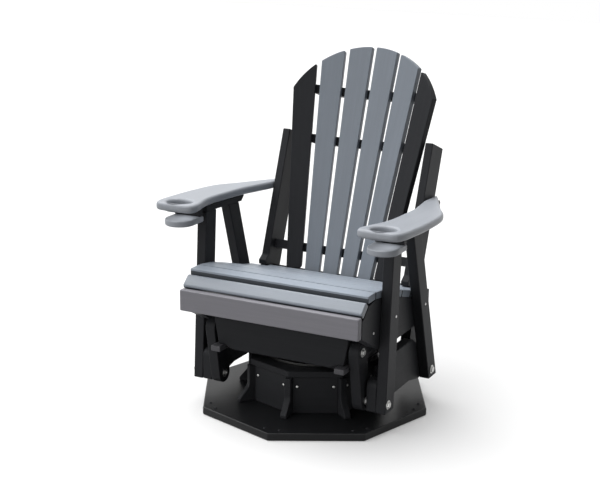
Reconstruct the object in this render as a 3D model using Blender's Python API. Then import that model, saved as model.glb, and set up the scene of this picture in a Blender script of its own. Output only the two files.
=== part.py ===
"""Swivel glider armchair of plastic lumber boards.

Metres, +Z up. The sitter faces -Y, +X is the viewer's right, and the origin is on the floor
under the swivel axis. The base stands turned under the chair, as a swivel chair often does.
"""

import math

import bmesh
import bpy
from mathutils import Vector

# Fits and edges
GAP = 0.0003
BATTEN_GAP = 0.0006
EDGE = 0.003
SMALL_EDGE = 0.0012
OVERRUN = 0.01

# Board stock
STOUT = 0.0318
SLAT_STOCK = 0.022
ARM_STOCK = 0.0255

# Base plate and pedestal
BASE_TURN = math.radians(28.0)
PLATE_ACROSS = 0.680
PLATE_THICK = 0.024
DRUM_ACROSS = 0.380
DRUM_HEIGHT = 0.1155
PANEL_THICK = 0.022
FIN_THICK = 0.020
FIN_INNER_REACH = 0.150
FIN_REACH = 0.220
FIN_FOOT_REACH = 0.252
FIN_SHOULDER = 0.050
FIN_TOE = 0.010
TOP_ACROSS = 0.392
TOP_THICK = 0.020

# Swivel bearing
RACE_REACH = 0.131
BALL = 0.0064
BALL_COUNT = 16
RING_WIDTH = 0.020
RING_HEIGHT = 0.007
RING_STEP = 0.0025
CAGE_WIDTH = 0.004
CAGE_THICK = 0.0014

# Swivel frame, which carries the four links
FRAME_HALF_WIDTH = 0.222
SWIVEL_BOARD_THICK = 0.027
SWIVEL_BOARD_HALF_DEPTH = 0.150
SWIVEL_BOARD_INSET = 0.022
BEARER_WIDTH = 0.032
BEARER_HEIGHT = 0.0175
BEARER_REACH = 0.254
RAIL_REACH = 0.229
RAIL_THICK = 0.0215
RAIL_BOTTOM_DROP = 0.011
RAIL_TOP = 0.300
RAIL_END_DROP = 0.014
RAIL_END_DRAW = 0.013
RAIL_NOTCH = 0.060
SIDE_THICK = 0.0254

# Links and their pivots
LINK_LENGTH = 0.161
LINK_HALF_WIDTH = 0.030
LINK_RUN = 0.031
LOWER_PIVOT_HEIGHT = 0.099
TOP_PIVOT_REACH = 0.199
INNER_WASHER = 0.0016
OUTER_WASHER = 0.0066
BOLT_RADIUS = 0.004
BOLT_CLEARANCE = 0.0007
LOWER_PIVOT_PLAY = 0.003
BOLT_HEAD_RADIUS = 0.010
BOLT_HEAD_HEIGHT = 0.0046
NUT_RADIUS = 0.0072
NUT_HEIGHT = 0.0065
WASHER_RADIUS = 0.0135
SMALL_WASHER_RADIUS = 0.0080
WASHER_THICK = 0.0012

# Side frames of the chair
FRAME_FLOOR = 0.072
POST_DEPTH = 0.060
POST_FRONT_AT_FLOOR = -0.1855
POST_LEAN_SHARE = 0.061
LEG_DEPTH = 0.060
LEG_FRONT_AT_FLOOR = 0.150
LEG_LEAN_SHARE = 0.322
LOWER_RAIL_FRONT = -0.183
LOWER_RAIL_REAR = 0.207
LOWER_RAIL_END_TOP = 0.172
LOWER_RAIL_TOP = 0.218
LOWER_RAIL_RISE_RUN = 0.070
LOWER_RAIL_END_RUN = 0.050
LOWER_RAIL_ARCH = 0.016
SEAT_RAIL_BOTTOM = 0.2575
SEAT_RAIL_REAR = 0.205
SEAT_RAIL_KNEE_Y = -0.188
SEAT_RAIL_KNEE_Z = 0.2735
SEAT_RAIL_LOW_Y = -0.150
ARM_RAIL_FRONT = -0.150
ARM_RAIL_REAR = 0.080
ARM_RAIL_DEPTH = 0.018

# Seat
SEAT_END_INSET = 0.001
SEAT_CREST_Y = -0.225
SEAT_CREST_Z = 0.446
SEAT_LOW_Y = 0.185
SEAT_LOW_Z = 0.364
SEAT_SLAT_COUNT = 5
SEAT_SLAT_WIDTH = 0.0606
SEAT_SLAT_GAP = 0.006
FIRST_SLAT_WIDTH = 0.0475
FIRST_SLAT_Y = -0.2505
ROLL_WIDTH = 0.0455
ROLL_TOP_Y = -0.2625
ROLL_TOP_Z = 0.4335
ROLL_TILT = math.radians(41.0)
ROLL_EDGE = 0.006
BACK_CLEARANCE = 0.003
APRON_FRONT_Y = -0.3133
APRON_BOTTOM = 0.3305
APRON_HEIGHT = 0.0650

# Back, measured along its slope from the seat line
BACK_LEAN = math.radians(18.9)
BACK_FOOT_Y = 0.165
BACK_FOOT_Z = 0.3655
BACK_SLAT_COUNT = 6
BACK_FOOT_GAP = 0.0126
BACK_HEAD_GAP = 0.0137
BACK_FOOT_PITCH_SHARE = 0.2587
BACK_HEAD_PITCH_SHARE = 0.3840
BACK_HEAD = 0.732
BACK_TAIL = 0.038
OUTER_SLAT_START = -0.005
BACK_ARCH_SHARE = 1.122
BACK_HOLLOW_RADIUS_FOOT = 0.550
BACK_HOLLOW_RADIUS_HEAD = 0.650
BATTEN_WIDTH = 0.028
BATTEN_DEPTH = 0.025
BATTEN_LOWER = 0.066
BATTEN_MIDDLE = 0.420
BATTEN_HIGH = 0.581
BATTEN_END_INSET = 0.021
FOOT_RAIL_WIDTH = 0.036
UPRIGHT_FRONT_Y = 0.1062
UPRIGHT_FOOT_Z = 0.327
UPRIGHT_DEPTH = 0.092
UPRIGHT_LENGTH = 0.494
UPRIGHT_THICK = 0.0255
UPRIGHT_LEAN = math.radians(20)
UPRIGHT_KNEE_Z = 0.402
UPRIGHT_TOE_Y = 0.112
UPRIGHT_TOE_TOP = 0.388
UPRIGHT_TOE_BOTTOM = 0.3730
UPRIGHT_NOTCH_Y = 0.1240

# Arms and cup holders
ARM_TOP = 0.6455
ARM_FALL = math.radians(2.5)
ARM_ROUND = 0.009
ARM_FRONT_Y = -0.291
ARM_REAR_Y = 0.300
ARM_OVERHANG = 0.0791
ARM_SHARES = (
    (0.25, 0.000), (0.57, 0.000), (0.81, 0.006), (0.92, 0.030), (0.971, 0.085),
    (0.986, 0.17), (0.993, 0.27), (0.979, 0.40), (0.936, 0.52), (0.85, 0.61),
    (0.62, 0.713), (0.43, 0.814), (0.18, 0.940), (0.10, 0.985), (0.05, 1.000),
    (0.005, 0.985), (0.00, 0.86), (0.043, 0.79), (0.10, 0.71), (0.157, 0.63),
    (0.182, 0.54), (0.193, 0.42), (0.196, 0.32), (0.171, 0.245), (0.114, 0.18),
    (0.036, 0.115), (-0.014, 0.065), (-0.007, 0.035), (0.057, 0.010),
)
CUP_OFFSET = 0.0051
CUP_Y = -0.243
CUP_RADIUS = 0.0375
SHELF_RADIUS = 0.046
SHELF_THICK = 0.019
SHELF_DROP = 0.026
HANGER_FRONT_Y = -0.205
HANGER_THICK = 0.019

# Smoothness of round forms
EDGE_STEPS = 1
ARM_ROUND_STEPS = 2
ARM_CURVE_STEPS = 2
ROUND_SIDES = 12
CUP_SIDES = 24
RING_SIDES = 32
CORNER_STEPS = 4
HALF_LINK_STEPS = 8
DOME_SHARES = ((0.0, 1.0), (0.5, 0.86), (1.0, 0.4))
HEAD_STEPS = 4
EIGHTH = math.pi / 4
HALF_EIGHTH = math.pi / 8
HANDS = (("left", -1), ("right", 1))
ENDS = (("front", -1), ("rear", 1))

# Sizes that follow from the ones above
FIN_TOP = PLATE_THICK + GAP + DRUM_HEIGHT
TOP_FACE = FIN_TOP + GAP + TOP_THICK
RACE_FLOOR = TOP_FACE + GAP
SWIVEL_BOARD_FLOOR = RACE_FLOOR + RING_STEP + RING_HEIGHT + GAP
BEARER_FLOOR = SWIVEL_BOARD_FLOOR + SWIVEL_BOARD_THICK + GAP
BEARER_TOP = BEARER_FLOOR + BEARER_HEIGHT
LINK_INNER_X = FRAME_HALF_WIDTH + INNER_WASHER
LINK_OUTER_X = LINK_INNER_X + STOUT
PLY_INNER_X = LINK_OUTER_X + OUTER_WASHER
PLY_OUTER_X = PLY_INNER_X + STOUT
POST_INNER_X = PLY_OUTER_X + GAP
POST_OUTER_X = POST_INNER_X + STOUT
UPRIGHT_INNER_X = PLY_INNER_X - GAP - UPRIGHT_THICK
LOWER_PIVOT_REACH = TOP_PIVOT_REACH - LINK_RUN
TOP_PIVOT_HEIGHT = LOWER_PIVOT_HEIGHT + math.sqrt(LINK_LENGTH**2 - LINK_RUN**2)
SEAT_HALF = PLY_OUTER_X - SEAT_END_INSET
SWIVEL_BOARD_HALF_WIDTH = FRAME_HALF_WIDTH - SWIVEL_BOARD_INSET
BACK_PITCH_FOOT = BACK_FOOT_PITCH_SHARE * UPRIGHT_INNER_X
BACK_PITCH_HEAD = BACK_HEAD_PITCH_SHARE * UPRIGHT_INNER_X
BACK_SLAT_FOOT_WIDTH = BACK_PITCH_FOOT - BACK_FOOT_GAP
BACK_SLAT_HEAD_WIDTH = BACK_PITCH_HEAD - BACK_HEAD_GAP
BACK_ARCH_RADIUS = BACK_ARCH_SHARE * UPRIGHT_INNER_X
ARM_OUTER_X = POST_OUTER_X + ARM_OVERHANG
CUP_X = POST_OUTER_X + CUP_OFFSET


def clear_scene():
    """Removes every object of the scene."""
    for thing in list(bpy.data.objects):
        bpy.data.objects.remove(thing, do_unlink=True)


def finish(name, colour, roughness, metallic=0.0):
    """A plain material with the finish of one kind of stock."""
    made = bpy.data.materials.new(name)
    made.use_nodes = True
    shader = made.node_tree.nodes["Principled BSDF"]
    shader.inputs["Base Color"].default_value = (*colour, 1.0)
    shader.inputs["Roughness"].default_value = roughness
    shader.inputs["Metallic"].default_value = metallic
    return made


def pivot(name, place, turn=0.0):
    """An empty on a joint's axis, at a place given in the world."""
    made = bpy.data.objects.new(name, None)
    bpy.context.scene.collection.objects.link(made)
    made.location = place
    made.rotation_euler.z = turn
    return made


def add_object(name, mesh_data, kind, parent):
    """Links a mesh whose points are in the world, under its joint's empty."""
    made = bpy.data.objects.new(name, mesh_data)
    bpy.context.scene.collection.objects.link(made)
    for point in mesh_data.vertices:
        point.co -= parent.location
    made.parent = parent
    made.data.materials.append(kind)
    return made


def mesh_from(name, form):
    """A mesh from a bmesh form, with its faces turned outwards."""
    bmesh.ops.recalc_face_normals(form, faces=form.faces[:])
    made = bpy.data.meshes.new(name)
    form.to_mesh(made)
    form.free()
    return made


def add_prism(form, outline, place, low, high):
    """Carries a flat outline from low to high; place(u, v, w) says where a point goes."""
    lower = [form.verts.new(place(u, v, low)) for u, v in outline]
    upper = [form.verts.new(place(u, v, high)) for u, v in outline]
    form.faces.new(lower)
    form.faces.new(upper)
    for i in range(len(outline)):
        j = (i + 1) % len(outline)
        form.faces.new((lower[i], lower[j], upper[j], upper[i]))


def across(u, v, w):
    """An outline in Y and Z, carried along X."""
    return (w, u, v)


def upward(u, v, w):
    """An outline in X and Y, carried along Z."""
    return (u, v, w)


def facing(u, v, w):
    """An outline in X and Z, carried along Y."""
    return (u, w, v)


def board(name, outline, place, low, high, kind, parent, edge=EDGE, steps=EDGE_STEPS):
    """One board of an outline and a thickness, with its edges eased."""
    form = bmesh.new()
    add_prism(form, outline, place, low, high)
    made = add_object(name, mesh_from(name, form), kind, parent)
    ease(made, edge, steps)
    return made


def ease(thing, edge, steps=EDGE_STEPS):
    """Rounds the sharp edges of a board."""
    if edge:
        bevel = thing.modifiers.new("eased_edges", "BEVEL")
        bevel.width = edge
        bevel.segments = steps
        bevel.limit_method = "ANGLE"
        bevel.angle_limit = math.radians(40)
        bevel.use_clamp_overlap = False


def box_outline(u0, u1, v0, v1):
    return [(u0, v0), (u1, v0), (u1, v1), (u0, v1)]


def round_outline(centre_u, centre_v, radius, sides, start=0.0):
    return [
        (centre_u + radius * math.cos(start + math.tau * i / sides),
         centre_v + radius * math.sin(start + math.tau * i / sides))
        for i in range(sides)
    ]


def octagon(across_flats):
    """An octagon whose flats face along X and Y."""
    reach = across_flats / 2 / math.cos(HALF_EIGHTH)
    return round_outline(0, 0, reach, 8, HALF_EIGHTH)


def softened(points, steps=CORNER_STEPS):
    """Rounds each corner of an outline that has a radius as its third value."""
    rounded = []
    for i, corner in enumerate(points):
        here = Vector(corner[:2])
        if len(corner) < 3:
            rounded.append(tuple(here))
            continue
        radius = corner[2]
        back = (Vector(points[i - 1][:2]) - here).normalized()
        ahead = (Vector(points[(i + 1) % len(points)][:2]) - here).normalized()
        half = back.angle(ahead) / 2
        centre = here + (back + ahead).normalized() * (radius / math.sin(half))
        reach = radius / math.tan(half)
        start = here + back * reach - centre
        end = here + ahead * reach - centre
        first = math.atan2(start.y, start.x)
        swing = (math.atan2(end.y, end.x) - first + math.pi) % math.tau - math.pi
        for step in range(steps + 1):
            angle = first + swing * step / steps
            rounded.append((centre.x + radius * math.cos(angle),
                            centre.y + radius * math.sin(angle)))
    return rounded


def flowing(points, per_span=ARM_CURVE_STEPS):
    """A closed smooth outline through points, as a Catmull-Rom curve."""
    count = len(points)
    run = []
    for i in range(count):
        a, b, c, d = (Vector(points[(i + k) % count]) for k in (-1, 0, 1, 2))
        for step in range(per_span):
            t = step / per_span
            place = (2 * b + (c - a) * t + (2 * a - 5 * b + 4 * c - d) * t**2
                     + (3 * b - a - 3 * c + d) * t**3) / 2
            run.append(tuple(place))
    return run


def hide(thing):
    """Makes an object a helper that isn't part of the model."""
    thing.hide_render = True
    thing.display_type = "WIRE"
    return thing


def helper(name, outline, place, low, high, parent):
    """A hidden solid for a cut or a join."""
    form = bmesh.new()
    add_prism(form, outline, place, low, high)
    return hide(add_object(name, mesh_from(name, form), STEEL, parent))


def combine(thing, tool, operation="DIFFERENCE"):
    """Cuts a hidden solid out of a board, or joins it to one."""
    step = thing.modifiers.new("cut", "BOOLEAN")
    step.operation = operation
    step.solver = "EXACT"
    step.object = tool


def drill(thing, y, z, radius, low, high, parent):
    """Drills a hole along X, through from low to high."""
    outline = round_outline(y, z, radius, ROUND_SIDES)
    name = f"{thing.name}_drill"
    combine(thing, helper(name, outline, across, low - OVERRUN, high + OVERRUN, parent))


def mirrored(outline, side):
    """An outline in X and Y on one side of the chair."""
    return [(side * u, v) for u, v in outline]


def span(side, inner, outer):
    """The X range of a board on one side of the chair."""
    return sorted((side * inner, side * outer))


# Base


def base_plate(parent):
    board("base_plate", octagon(PLATE_ACROSS), upward, 0, PLATE_THICK, BLACK, parent)


def fin_helper(parent):
    """Eight upright fins, each with a foot that flares out over the plate."""
    floor = PLATE_THICK + GAP
    profile = [
        (FIN_INNER_REACH, floor),
        (FIN_FOOT_REACH, floor),
        (FIN_FOOT_REACH, floor + FIN_TOE),
        (FIN_REACH, floor + FIN_SHOULDER),
        (FIN_REACH, FIN_TOP),
        (FIN_INNER_REACH, FIN_TOP),
    ]
    form = bmesh.new()
    for i in range(8):
        turn = HALF_EIGHTH + EIGHTH * i

        def place(reach, z, w, turn=turn):
            x = reach * math.cos(turn) - w * math.sin(turn)
            return (x, reach * math.sin(turn) + w * math.cos(turn), z)

        add_prism(form, profile, place, -FIN_THICK / 2, FIN_THICK / 2)
    fins = hide(add_object("fin_helper", mesh_from("fin_helper", form), BLACK, parent))
    ease(fins, SMALL_EDGE, 1)
    return fins


def pedestal_drum(parent):
    """Eight flat panels round a hollow, joined at the corners by eight fins."""
    rows = []
    form = bmesh.new()
    for z in (PLATE_THICK + GAP, FIN_TOP):
        for reach in (DRUM_ACROSS / 2, DRUM_ACROSS / 2 - PANEL_THICK):
            rows.append([form.verts.new((x, y, z)) for x, y in octagon(reach + reach)])
    low_out, low_in, high_out, high_in = rows
    for a, b in ((low_out, low_in), (low_in, high_in), (high_in, high_out), (high_out, low_out)):
        for i in range(8):
            j = (i + 1) % 8
            form.faces.new((a[i], a[j], b[j], b[i]))
    drum = add_object("pedestal_drum", mesh_from("pedestal_drum", form), BLACK, parent)
    combine(drum, fin_helper(parent), "UNION")


def pedestal_top(parent):
    bottom = FIN_TOP + GAP
    board("pedestal_top", octagon(TOP_ACROSS), upward, bottom, TOP_FACE, BLACK, parent)


def turned_ring(name, inner, outer, low, high, parent):
    """A flat ring of square section round the swivel axis."""
    form = bmesh.new()
    profile = ((inner, low), (outer, low), (outer, high), (inner, high))
    rows = [
        [form.verts.new((x, y, z)) for x, y in round_outline(0, 0, reach, RING_SIDES)]
        for reach, z in profile
    ]
    for here, ahead in zip(rows, rows[1:] + rows[:1]):
        for i in range(RING_SIDES):
            j = (i + 1) % RING_SIDES
            form.faces.new((here[i], here[j], ahead[j], ahead[i]))
    return add_object(name, mesh_from(name, form), STEEL, parent)


def bearing(base, swivel):
    """A ball race: outer ring on the pedestal, inner ring under the swivel board, caged balls."""
    channel = BALL / 2 + GAP
    outer = RACE_REACH + channel
    inner = RACE_REACH - channel
    lifted = RACE_FLOOR + RING_STEP
    turned_ring("bearing_outer_ring", outer, outer + RING_WIDTH, RACE_FLOOR,
                RACE_FLOOR + RING_HEIGHT, base)
    turned_ring("bearing_inner_ring", inner - RING_WIDTH, inner, lifted,
                lifted + RING_HEIGHT, swivel)
    middle = (RACE_FLOOR + lifted + RING_HEIGHT) / 2
    cage = turned_ring("ball_cage", RACE_REACH - CAGE_WIDTH / 2, RACE_REACH + CAGE_WIDTH / 2,
                       middle - CAGE_THICK / 2, middle + CAGE_THICK / 2, base)
    form = bmesh.new()
    for i in range(BALL_COUNT):
        turn = math.tau * i / BALL_COUNT
        ball = bmesh.ops.create_uvsphere(form, u_segments=8, v_segments=5, radius=BALL / 2)
        place = (RACE_REACH * math.cos(turn), RACE_REACH * math.sin(turn), middle)
        bmesh.ops.translate(form, verts=ball["verts"], vec=place)
    balls = hide(add_object("ball_helper", mesh_from("ball_helper", form), STEEL, base))
    combine(cage, balls, "UNION")


# Swivel frame


def swivel_board(parent):
    outline = box_outline(-SWIVEL_BOARD_HALF_WIDTH, SWIVEL_BOARD_HALF_WIDTH,
                          -SWIVEL_BOARD_HALF_DEPTH, SWIVEL_BOARD_HALF_DEPTH)
    board("swivel_board", outline, upward, SWIVEL_BOARD_FLOOR,
          SWIVEL_BOARD_FLOOR + SWIVEL_BOARD_THICK, BLACK, parent)


def bearer(name, side, parent):
    """A grey bar from front to back, whose ends show under the rails."""
    low, high = span(side, FRAME_HALF_WIDTH - BEARER_WIDTH, FRAME_HALF_WIDTH)
    outline = box_outline(-BEARER_REACH, BEARER_REACH, BEARER_FLOOR, BEARER_TOP)
    board(name, outline, across, low, high, APRON_GREY, parent)


def swivel_rail(name, side, parent):
    """A cross rail, notched over the bearers and drawn in below its upper corners."""
    low, high = span(side, RAIL_REACH - RAIL_THICK, RAIL_REACH)
    seat = BEARER_TOP + GAP
    bottom = seat - RAIL_BOTTOM_DROP
    step = FRAME_HALF_WIDTH - BEARER_WIDTH - EDGE
    notch = FRAME_HALF_WIDTH - RAIL_NOTCH
    wide, drawn = FRAME_HALF_WIDTH, FRAME_HALF_WIDTH - RAIL_END_DRAW
    outline = [
        (wide, RAIL_TOP), (-wide, RAIL_TOP), (-wide, RAIL_TOP - RAIL_END_DROP), (-drawn, seat),
        (-step, seat), (-notch, bottom), (notch, bottom), (step, seat), (drawn, seat),
        (wide, RAIL_TOP - RAIL_END_DROP),
    ]
    board(name, outline, facing, low, high, BLACK, parent)


def swivel_side(name, side, parent):
    """The board on a bearer that holds the links' upper pivots."""
    low, high = span(side, FRAME_HALF_WIDTH - SIDE_THICK, FRAME_HALF_WIDTH)
    reach = RAIL_REACH - RAIL_THICK - GAP
    outline = box_outline(-reach, reach, BEARER_TOP + GAP, RAIL_TOP)
    made = board(name, outline, across, low, high, BLACK, parent)
    for y in (-TOP_PIVOT_REACH, TOP_PIVOT_REACH):
        drill(made, y, TOP_PIVOT_HEIGHT, BOLT_RADIUS + BOLT_CLEARANCE, low, high, parent)


def turned_bolt(name, y, z, side, profile, parent):
    """A bolt with its washers and nut, turned about an axis along X."""
    form = bmesh.new()
    rows = [
        [form.verts.new((side * x, u, v)) for u, v in round_outline(y, z, radius, ROUND_SIDES)]
        for x, radius in profile
    ]
    for here, ahead in zip(rows, rows[1:]):
        for i in range(ROUND_SIDES):
            j = (i + 1) % ROUND_SIDES
            form.faces.new((here[i], here[j], ahead[j], ahead[i]))
    form.faces.new(rows[0])
    form.faces.new(rows[-1])
    made = add_object(name, mesh_from(name, form), STEEL, parent)
    made.data.shade_smooth()
    made.data.set_sharp_from_angle(angle=EIGHTH)


def nut_profile(face, reach):
    """Nut and washer on the inner side of a face, from the tip outwards."""
    washer = face - GAP - WASHER_THICK
    tip = washer - NUT_HEIGHT
    return [(tip, NUT_RADIUS), (washer, NUT_RADIUS), (washer, reach),
            (face - GAP, reach), (face - GAP, BOLT_RADIUS)]


def spacer_profile(inner, outer):
    """A washer that fills the space between two boards."""
    return [(inner + GAP, BOLT_RADIUS), (inner + GAP, WASHER_RADIUS),
            (outer - GAP, WASHER_RADIUS), (outer - GAP, BOLT_RADIUS)]


def head_profile(face):
    """Washer and domed head on the outer side of a face."""
    washer = face + GAP + WASHER_THICK
    dome = [(washer + rise * BOLT_HEAD_HEIGHT, share * BOLT_HEAD_RADIUS)
            for rise, share in DOME_SHARES]
    return [(face + GAP, BOLT_RADIUS), (face + GAP, WASHER_RADIUS), (washer, WASHER_RADIUS), *dome]


def upper_bolt(name, y, side, parent):
    """Bolt of an upper pivot: through the side board and the link."""
    profile = [
        *nut_profile(FRAME_HALF_WIDTH - SIDE_THICK, SMALL_WASHER_RADIUS),
        *spacer_profile(FRAME_HALF_WIDTH, LINK_INNER_X),
        *head_profile(LINK_OUTER_X),
    ]
    turned_bolt(name, y, TOP_PIVOT_HEIGHT, side, profile, parent)


def lower_bolt(name, y, side, parent):
    """Bolt of a lower pivot: through the link, the lower rail and the post or leg."""
    profile = [
        *nut_profile(LINK_INNER_X, WASHER_RADIUS),
        *spacer_profile(LINK_OUTER_X, PLY_INNER_X),
        *head_profile(POST_OUTER_X),
    ]
    turned_bolt(name, y, LOWER_PIVOT_HEIGHT, side, profile, parent)


# Links


def link(name, side, end, parent):
    """A swing link: a board with round ends and a hole at each pivot."""
    top = (end * TOP_PIVOT_REACH, TOP_PIVOT_HEIGHT)
    foot = (end * LOWER_PIVOT_REACH, LOWER_PIVOT_HEIGHT)
    lean = math.atan2(top[1] - foot[1], top[0] - foot[0])
    outline = []
    for centre, start in ((top, lean - math.pi / 2), (foot, lean + math.pi / 2)):
        for i in range(HALF_LINK_STEPS + 1):
            angle = start + math.pi * i / HALF_LINK_STEPS
            outline.append((centre[0] + LINK_HALF_WIDTH * math.cos(angle),
                            centre[1] + LINK_HALF_WIDTH * math.sin(angle)))
    low, high = span(side, LINK_INNER_X, LINK_OUTER_X)
    made = board(name, outline, across, low, high, BLACK, parent)
    drill(made, *top, BOLT_RADIUS + BOLT_CLEARANCE, low, high, parent)
    drill(made, *foot, BOLT_RADIUS + LOWER_PIVOT_PLAY, low, high, parent)


# Side frames of the chair


def arm_underside(y):
    """Height of the sloping underside of the arms, less the seating gap."""
    return ARM_TOP - ARM_STOCK - (y - CUP_Y) * math.tan(ARM_FALL) - GAP


def rail_underside(y):
    """Height of the underside of the bar below the arm."""
    return arm_underside(y) - ARM_RAIL_DEPTH


def leaning(front_at_floor, lean_share, depth):
    """Corners of a leaning member from the frame's floor to the arm rail's underside."""
    corners = []
    for shift in (0, depth):
        foot = front_at_floor + shift
        head = foot
        for _ in range(8):
            head = foot + lean_share * (rail_underside(head) - GAP - FRAME_FLOOR)
        corners.append(((foot, FRAME_FLOOR), (head, rail_underside(head) - GAP)))
    (foot_a, head_a), (foot_b, head_b) = corners
    return [foot_a, foot_b, head_b, head_a]


def post(name, side, parent):
    """The front post, which leans a little back at its top."""
    low, high = span(side, POST_INNER_X, POST_OUTER_X)
    outline = leaning(POST_FRONT_AT_FLOOR, POST_LEAN_SHARE, POST_DEPTH)
    made = board(name, outline, across, low, high, BLACK, parent)
    bore = BOLT_RADIUS + BOLT_CLEARANCE
    drill(made, -LOWER_PIVOT_REACH, LOWER_PIVOT_HEIGHT, bore, low, high, parent)


def rear_leg(name, side, parent):
    """The rear leg, which slants from under the arm down to the rear pivot."""
    low, high = span(side, POST_INNER_X, POST_OUTER_X)
    outline = leaning(LEG_FRONT_AT_FLOOR, -LEG_LEAN_SHARE, LEG_DEPTH)
    made = board(name, outline, across, low, high, BLACK, parent)
    bore = BOLT_RADIUS + BOLT_CLEARANCE
    drill(made, LOWER_PIVOT_REACH, LOWER_PIVOT_HEIGHT, bore, low, high, parent)


def lower_rail(name, side, parent):
    """The bottom rail, low at both ends and humped between, with a shallow arch below."""
    low, high = span(side, PLY_INNER_X, PLY_OUTER_X)
    round_end = LOWER_RAIL_END_RUN / 2
    rise = LOWER_RAIL_RISE_RUN / 2
    front, rear = LOWER_RAIL_FRONT, LOWER_RAIL_REAR
    arch = FRAME_FLOOR + LOWER_RAIL_ARCH
    first = front + LOWER_RAIL_RISE_RUN
    last = rear - LOWER_RAIL_RISE_RUN
    outline = [
        (front, FRAME_FLOOR), (first, FRAME_FLOOR), (first + LOWER_RAIL_RISE_RUN, arch, rise),
        (last - LOWER_RAIL_RISE_RUN, arch, rise), (last, FRAME_FLOOR), (rear, FRAME_FLOOR),
        (rear, LOWER_RAIL_END_TOP, round_end),
        (rear - LOWER_RAIL_END_RUN, LOWER_RAIL_END_TOP, round_end),
        (rear - LOWER_RAIL_END_RUN - LOWER_RAIL_RISE_RUN, LOWER_RAIL_TOP, rise),
        (front + LOWER_RAIL_END_RUN + LOWER_RAIL_RISE_RUN, LOWER_RAIL_TOP, rise),
        (front + LOWER_RAIL_END_RUN, LOWER_RAIL_END_TOP, round_end),
        (front, LOWER_RAIL_END_TOP, round_end),
    ]
    made = board(name, softened(outline), across, low, high, BLACK, parent)
    for y in (-LOWER_PIVOT_REACH, LOWER_PIVOT_REACH):
        drill(made, y, LOWER_PIVOT_HEIGHT, BOLT_RADIUS + BOLT_CLEARANCE, low, high, parent)


def arm_rail(name, side, parent):
    """The bar under the arm, on the post and the rear leg, cut back below its rear end."""
    low, high = span(side, POST_INNER_X, POST_OUTER_X)
    front, rear = ARM_RAIL_FRONT, ARM_RAIL_REAR
    under = rear - ARM_RAIL_DEPTH
    outline = [(front, rail_underside(front)), (under, rail_underside(under)),
               (rear, arm_underside(rear)), (front, arm_underside(front))]
    board(name, outline, across, low, high, BLACK, parent)


# Seat


def seat_height(y):
    """The seat's dished line: a half cosine from its crest down to the back."""
    middle = (SEAT_CREST_Z + SEAT_LOW_Z) / 2
    swell = (SEAT_CREST_Z - SEAT_LOW_Z) / 2
    return middle + swell * math.cos(math.pi * (y - SEAT_CREST_Y) / (SEAT_LOW_Y - SEAT_CREST_Y))


def slat_tilt(y, width):
    """How a slat tilts when both of its top edges lie on the seat's line."""
    tilt = 0
    for _ in range(8):
        tilt = math.atan2(seat_height(y + width * math.cos(tilt)) - seat_height(y),
                          width * math.cos(tilt))
    return tilt


def seat_slat_rests():
    """Front top corner, tilt and width of each full seat slat, from the rolled one to the back."""
    rests = [((ROLL_TOP_Y - ROLL_WIDTH * math.cos(ROLL_TILT),
               ROLL_TOP_Z - ROLL_WIDTH * math.sin(ROLL_TILT)), ROLL_TILT, ROLL_WIDTH)]
    y = FIRST_SLAT_Y
    for width in (FIRST_SLAT_WIDTH, *[SEAT_SLAT_WIDTH] * SEAT_SLAT_COUNT):
        tilt = slat_tilt(y, width)
        rests.append(((y, seat_height(y)), tilt, width))
        y += (width + SEAT_SLAT_GAP) * math.cos(tilt)
    return rests


def slat_section(rest, sink):
    """The two corners of a slat's section at a depth below its top: front, then rear."""
    (y, z), tilt, width = rest
    front = (y + sink * math.sin(tilt), z - sink * math.cos(tilt))
    return front, (front[0] + width * math.cos(tilt), front[1] + width * math.sin(tilt))


def seat_slats(parent):
    """The rolled slat and the slats of full width."""
    for number, rest in enumerate(seat_slat_rests(), start=1):
        front, rear = slat_section(rest, 0)
        under_front, under_rear = slat_section(rest, SLAT_STOCK)
        outline = [under_front, under_rear, rear, front]
        edge = ROLL_EDGE if number == 1 else EDGE
        board(f"seat_slat_{number}", outline, across, -SEAT_HALF, SEAT_HALF, GREY, parent, edge)


def seat_slat_last(parent):
    """The short slat between the uprights, which stops just ahead of the inner back slats."""
    (y, _), tilt, width = seat_slat_rests()[-1]
    y += (width + SEAT_SLAT_GAP) * math.cos(tilt)
    _, forward = slat_place(back_ranks()[-2], BACK_SLAT_FOOT_WIDTH / 2, 0, 0)
    rear = back_point(0, -SLAT_STOCK, forward)[1] - BACK_CLEARANCE
    tilt = slat_tilt(y, rear - y)
    rest = ((y, seat_height(y)), tilt, (rear - y) / math.cos(tilt))
    outline = [*slat_section(rest, SLAT_STOCK), *reversed(slat_section(rest, 0))]
    end = UPRIGHT_INNER_X - GAP
    name = f"seat_slat_{len(seat_slat_rests()) + 1}"
    board(name, outline, across, -end, end, GREY, parent, SMALL_EDGE)


def seat_bed(from_y, to_y):
    """The stepped line on which the slats lie, from front to rear between two limits."""
    line = []
    for rest in seat_slat_rests():
        line.extend(slat_section(rest, SLAT_STOCK + GAP))
    kept = [line[0]]
    for here in line[1:]:
        if here[0] > kept[-1][0] + GAP:
            kept.append(here)
    bed = []
    for (y0, z0), (y1, z1) in zip(kept, kept[1:]):
        for limit in (from_y, to_y):
            if y0 < limit < y1:
                bed.append((limit, z0 + (z1 - z0) * (limit - y0) / (y1 - y0)))
        if from_y <= y1 <= to_y:
            bed.append((y1, z1))
    if from_y <= kept[0][0]:
        bed.insert(0, kept[0])
    if kept[-1][0] < to_y:
        bed.append((to_y, kept[-1][1]))
    return bed


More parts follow.
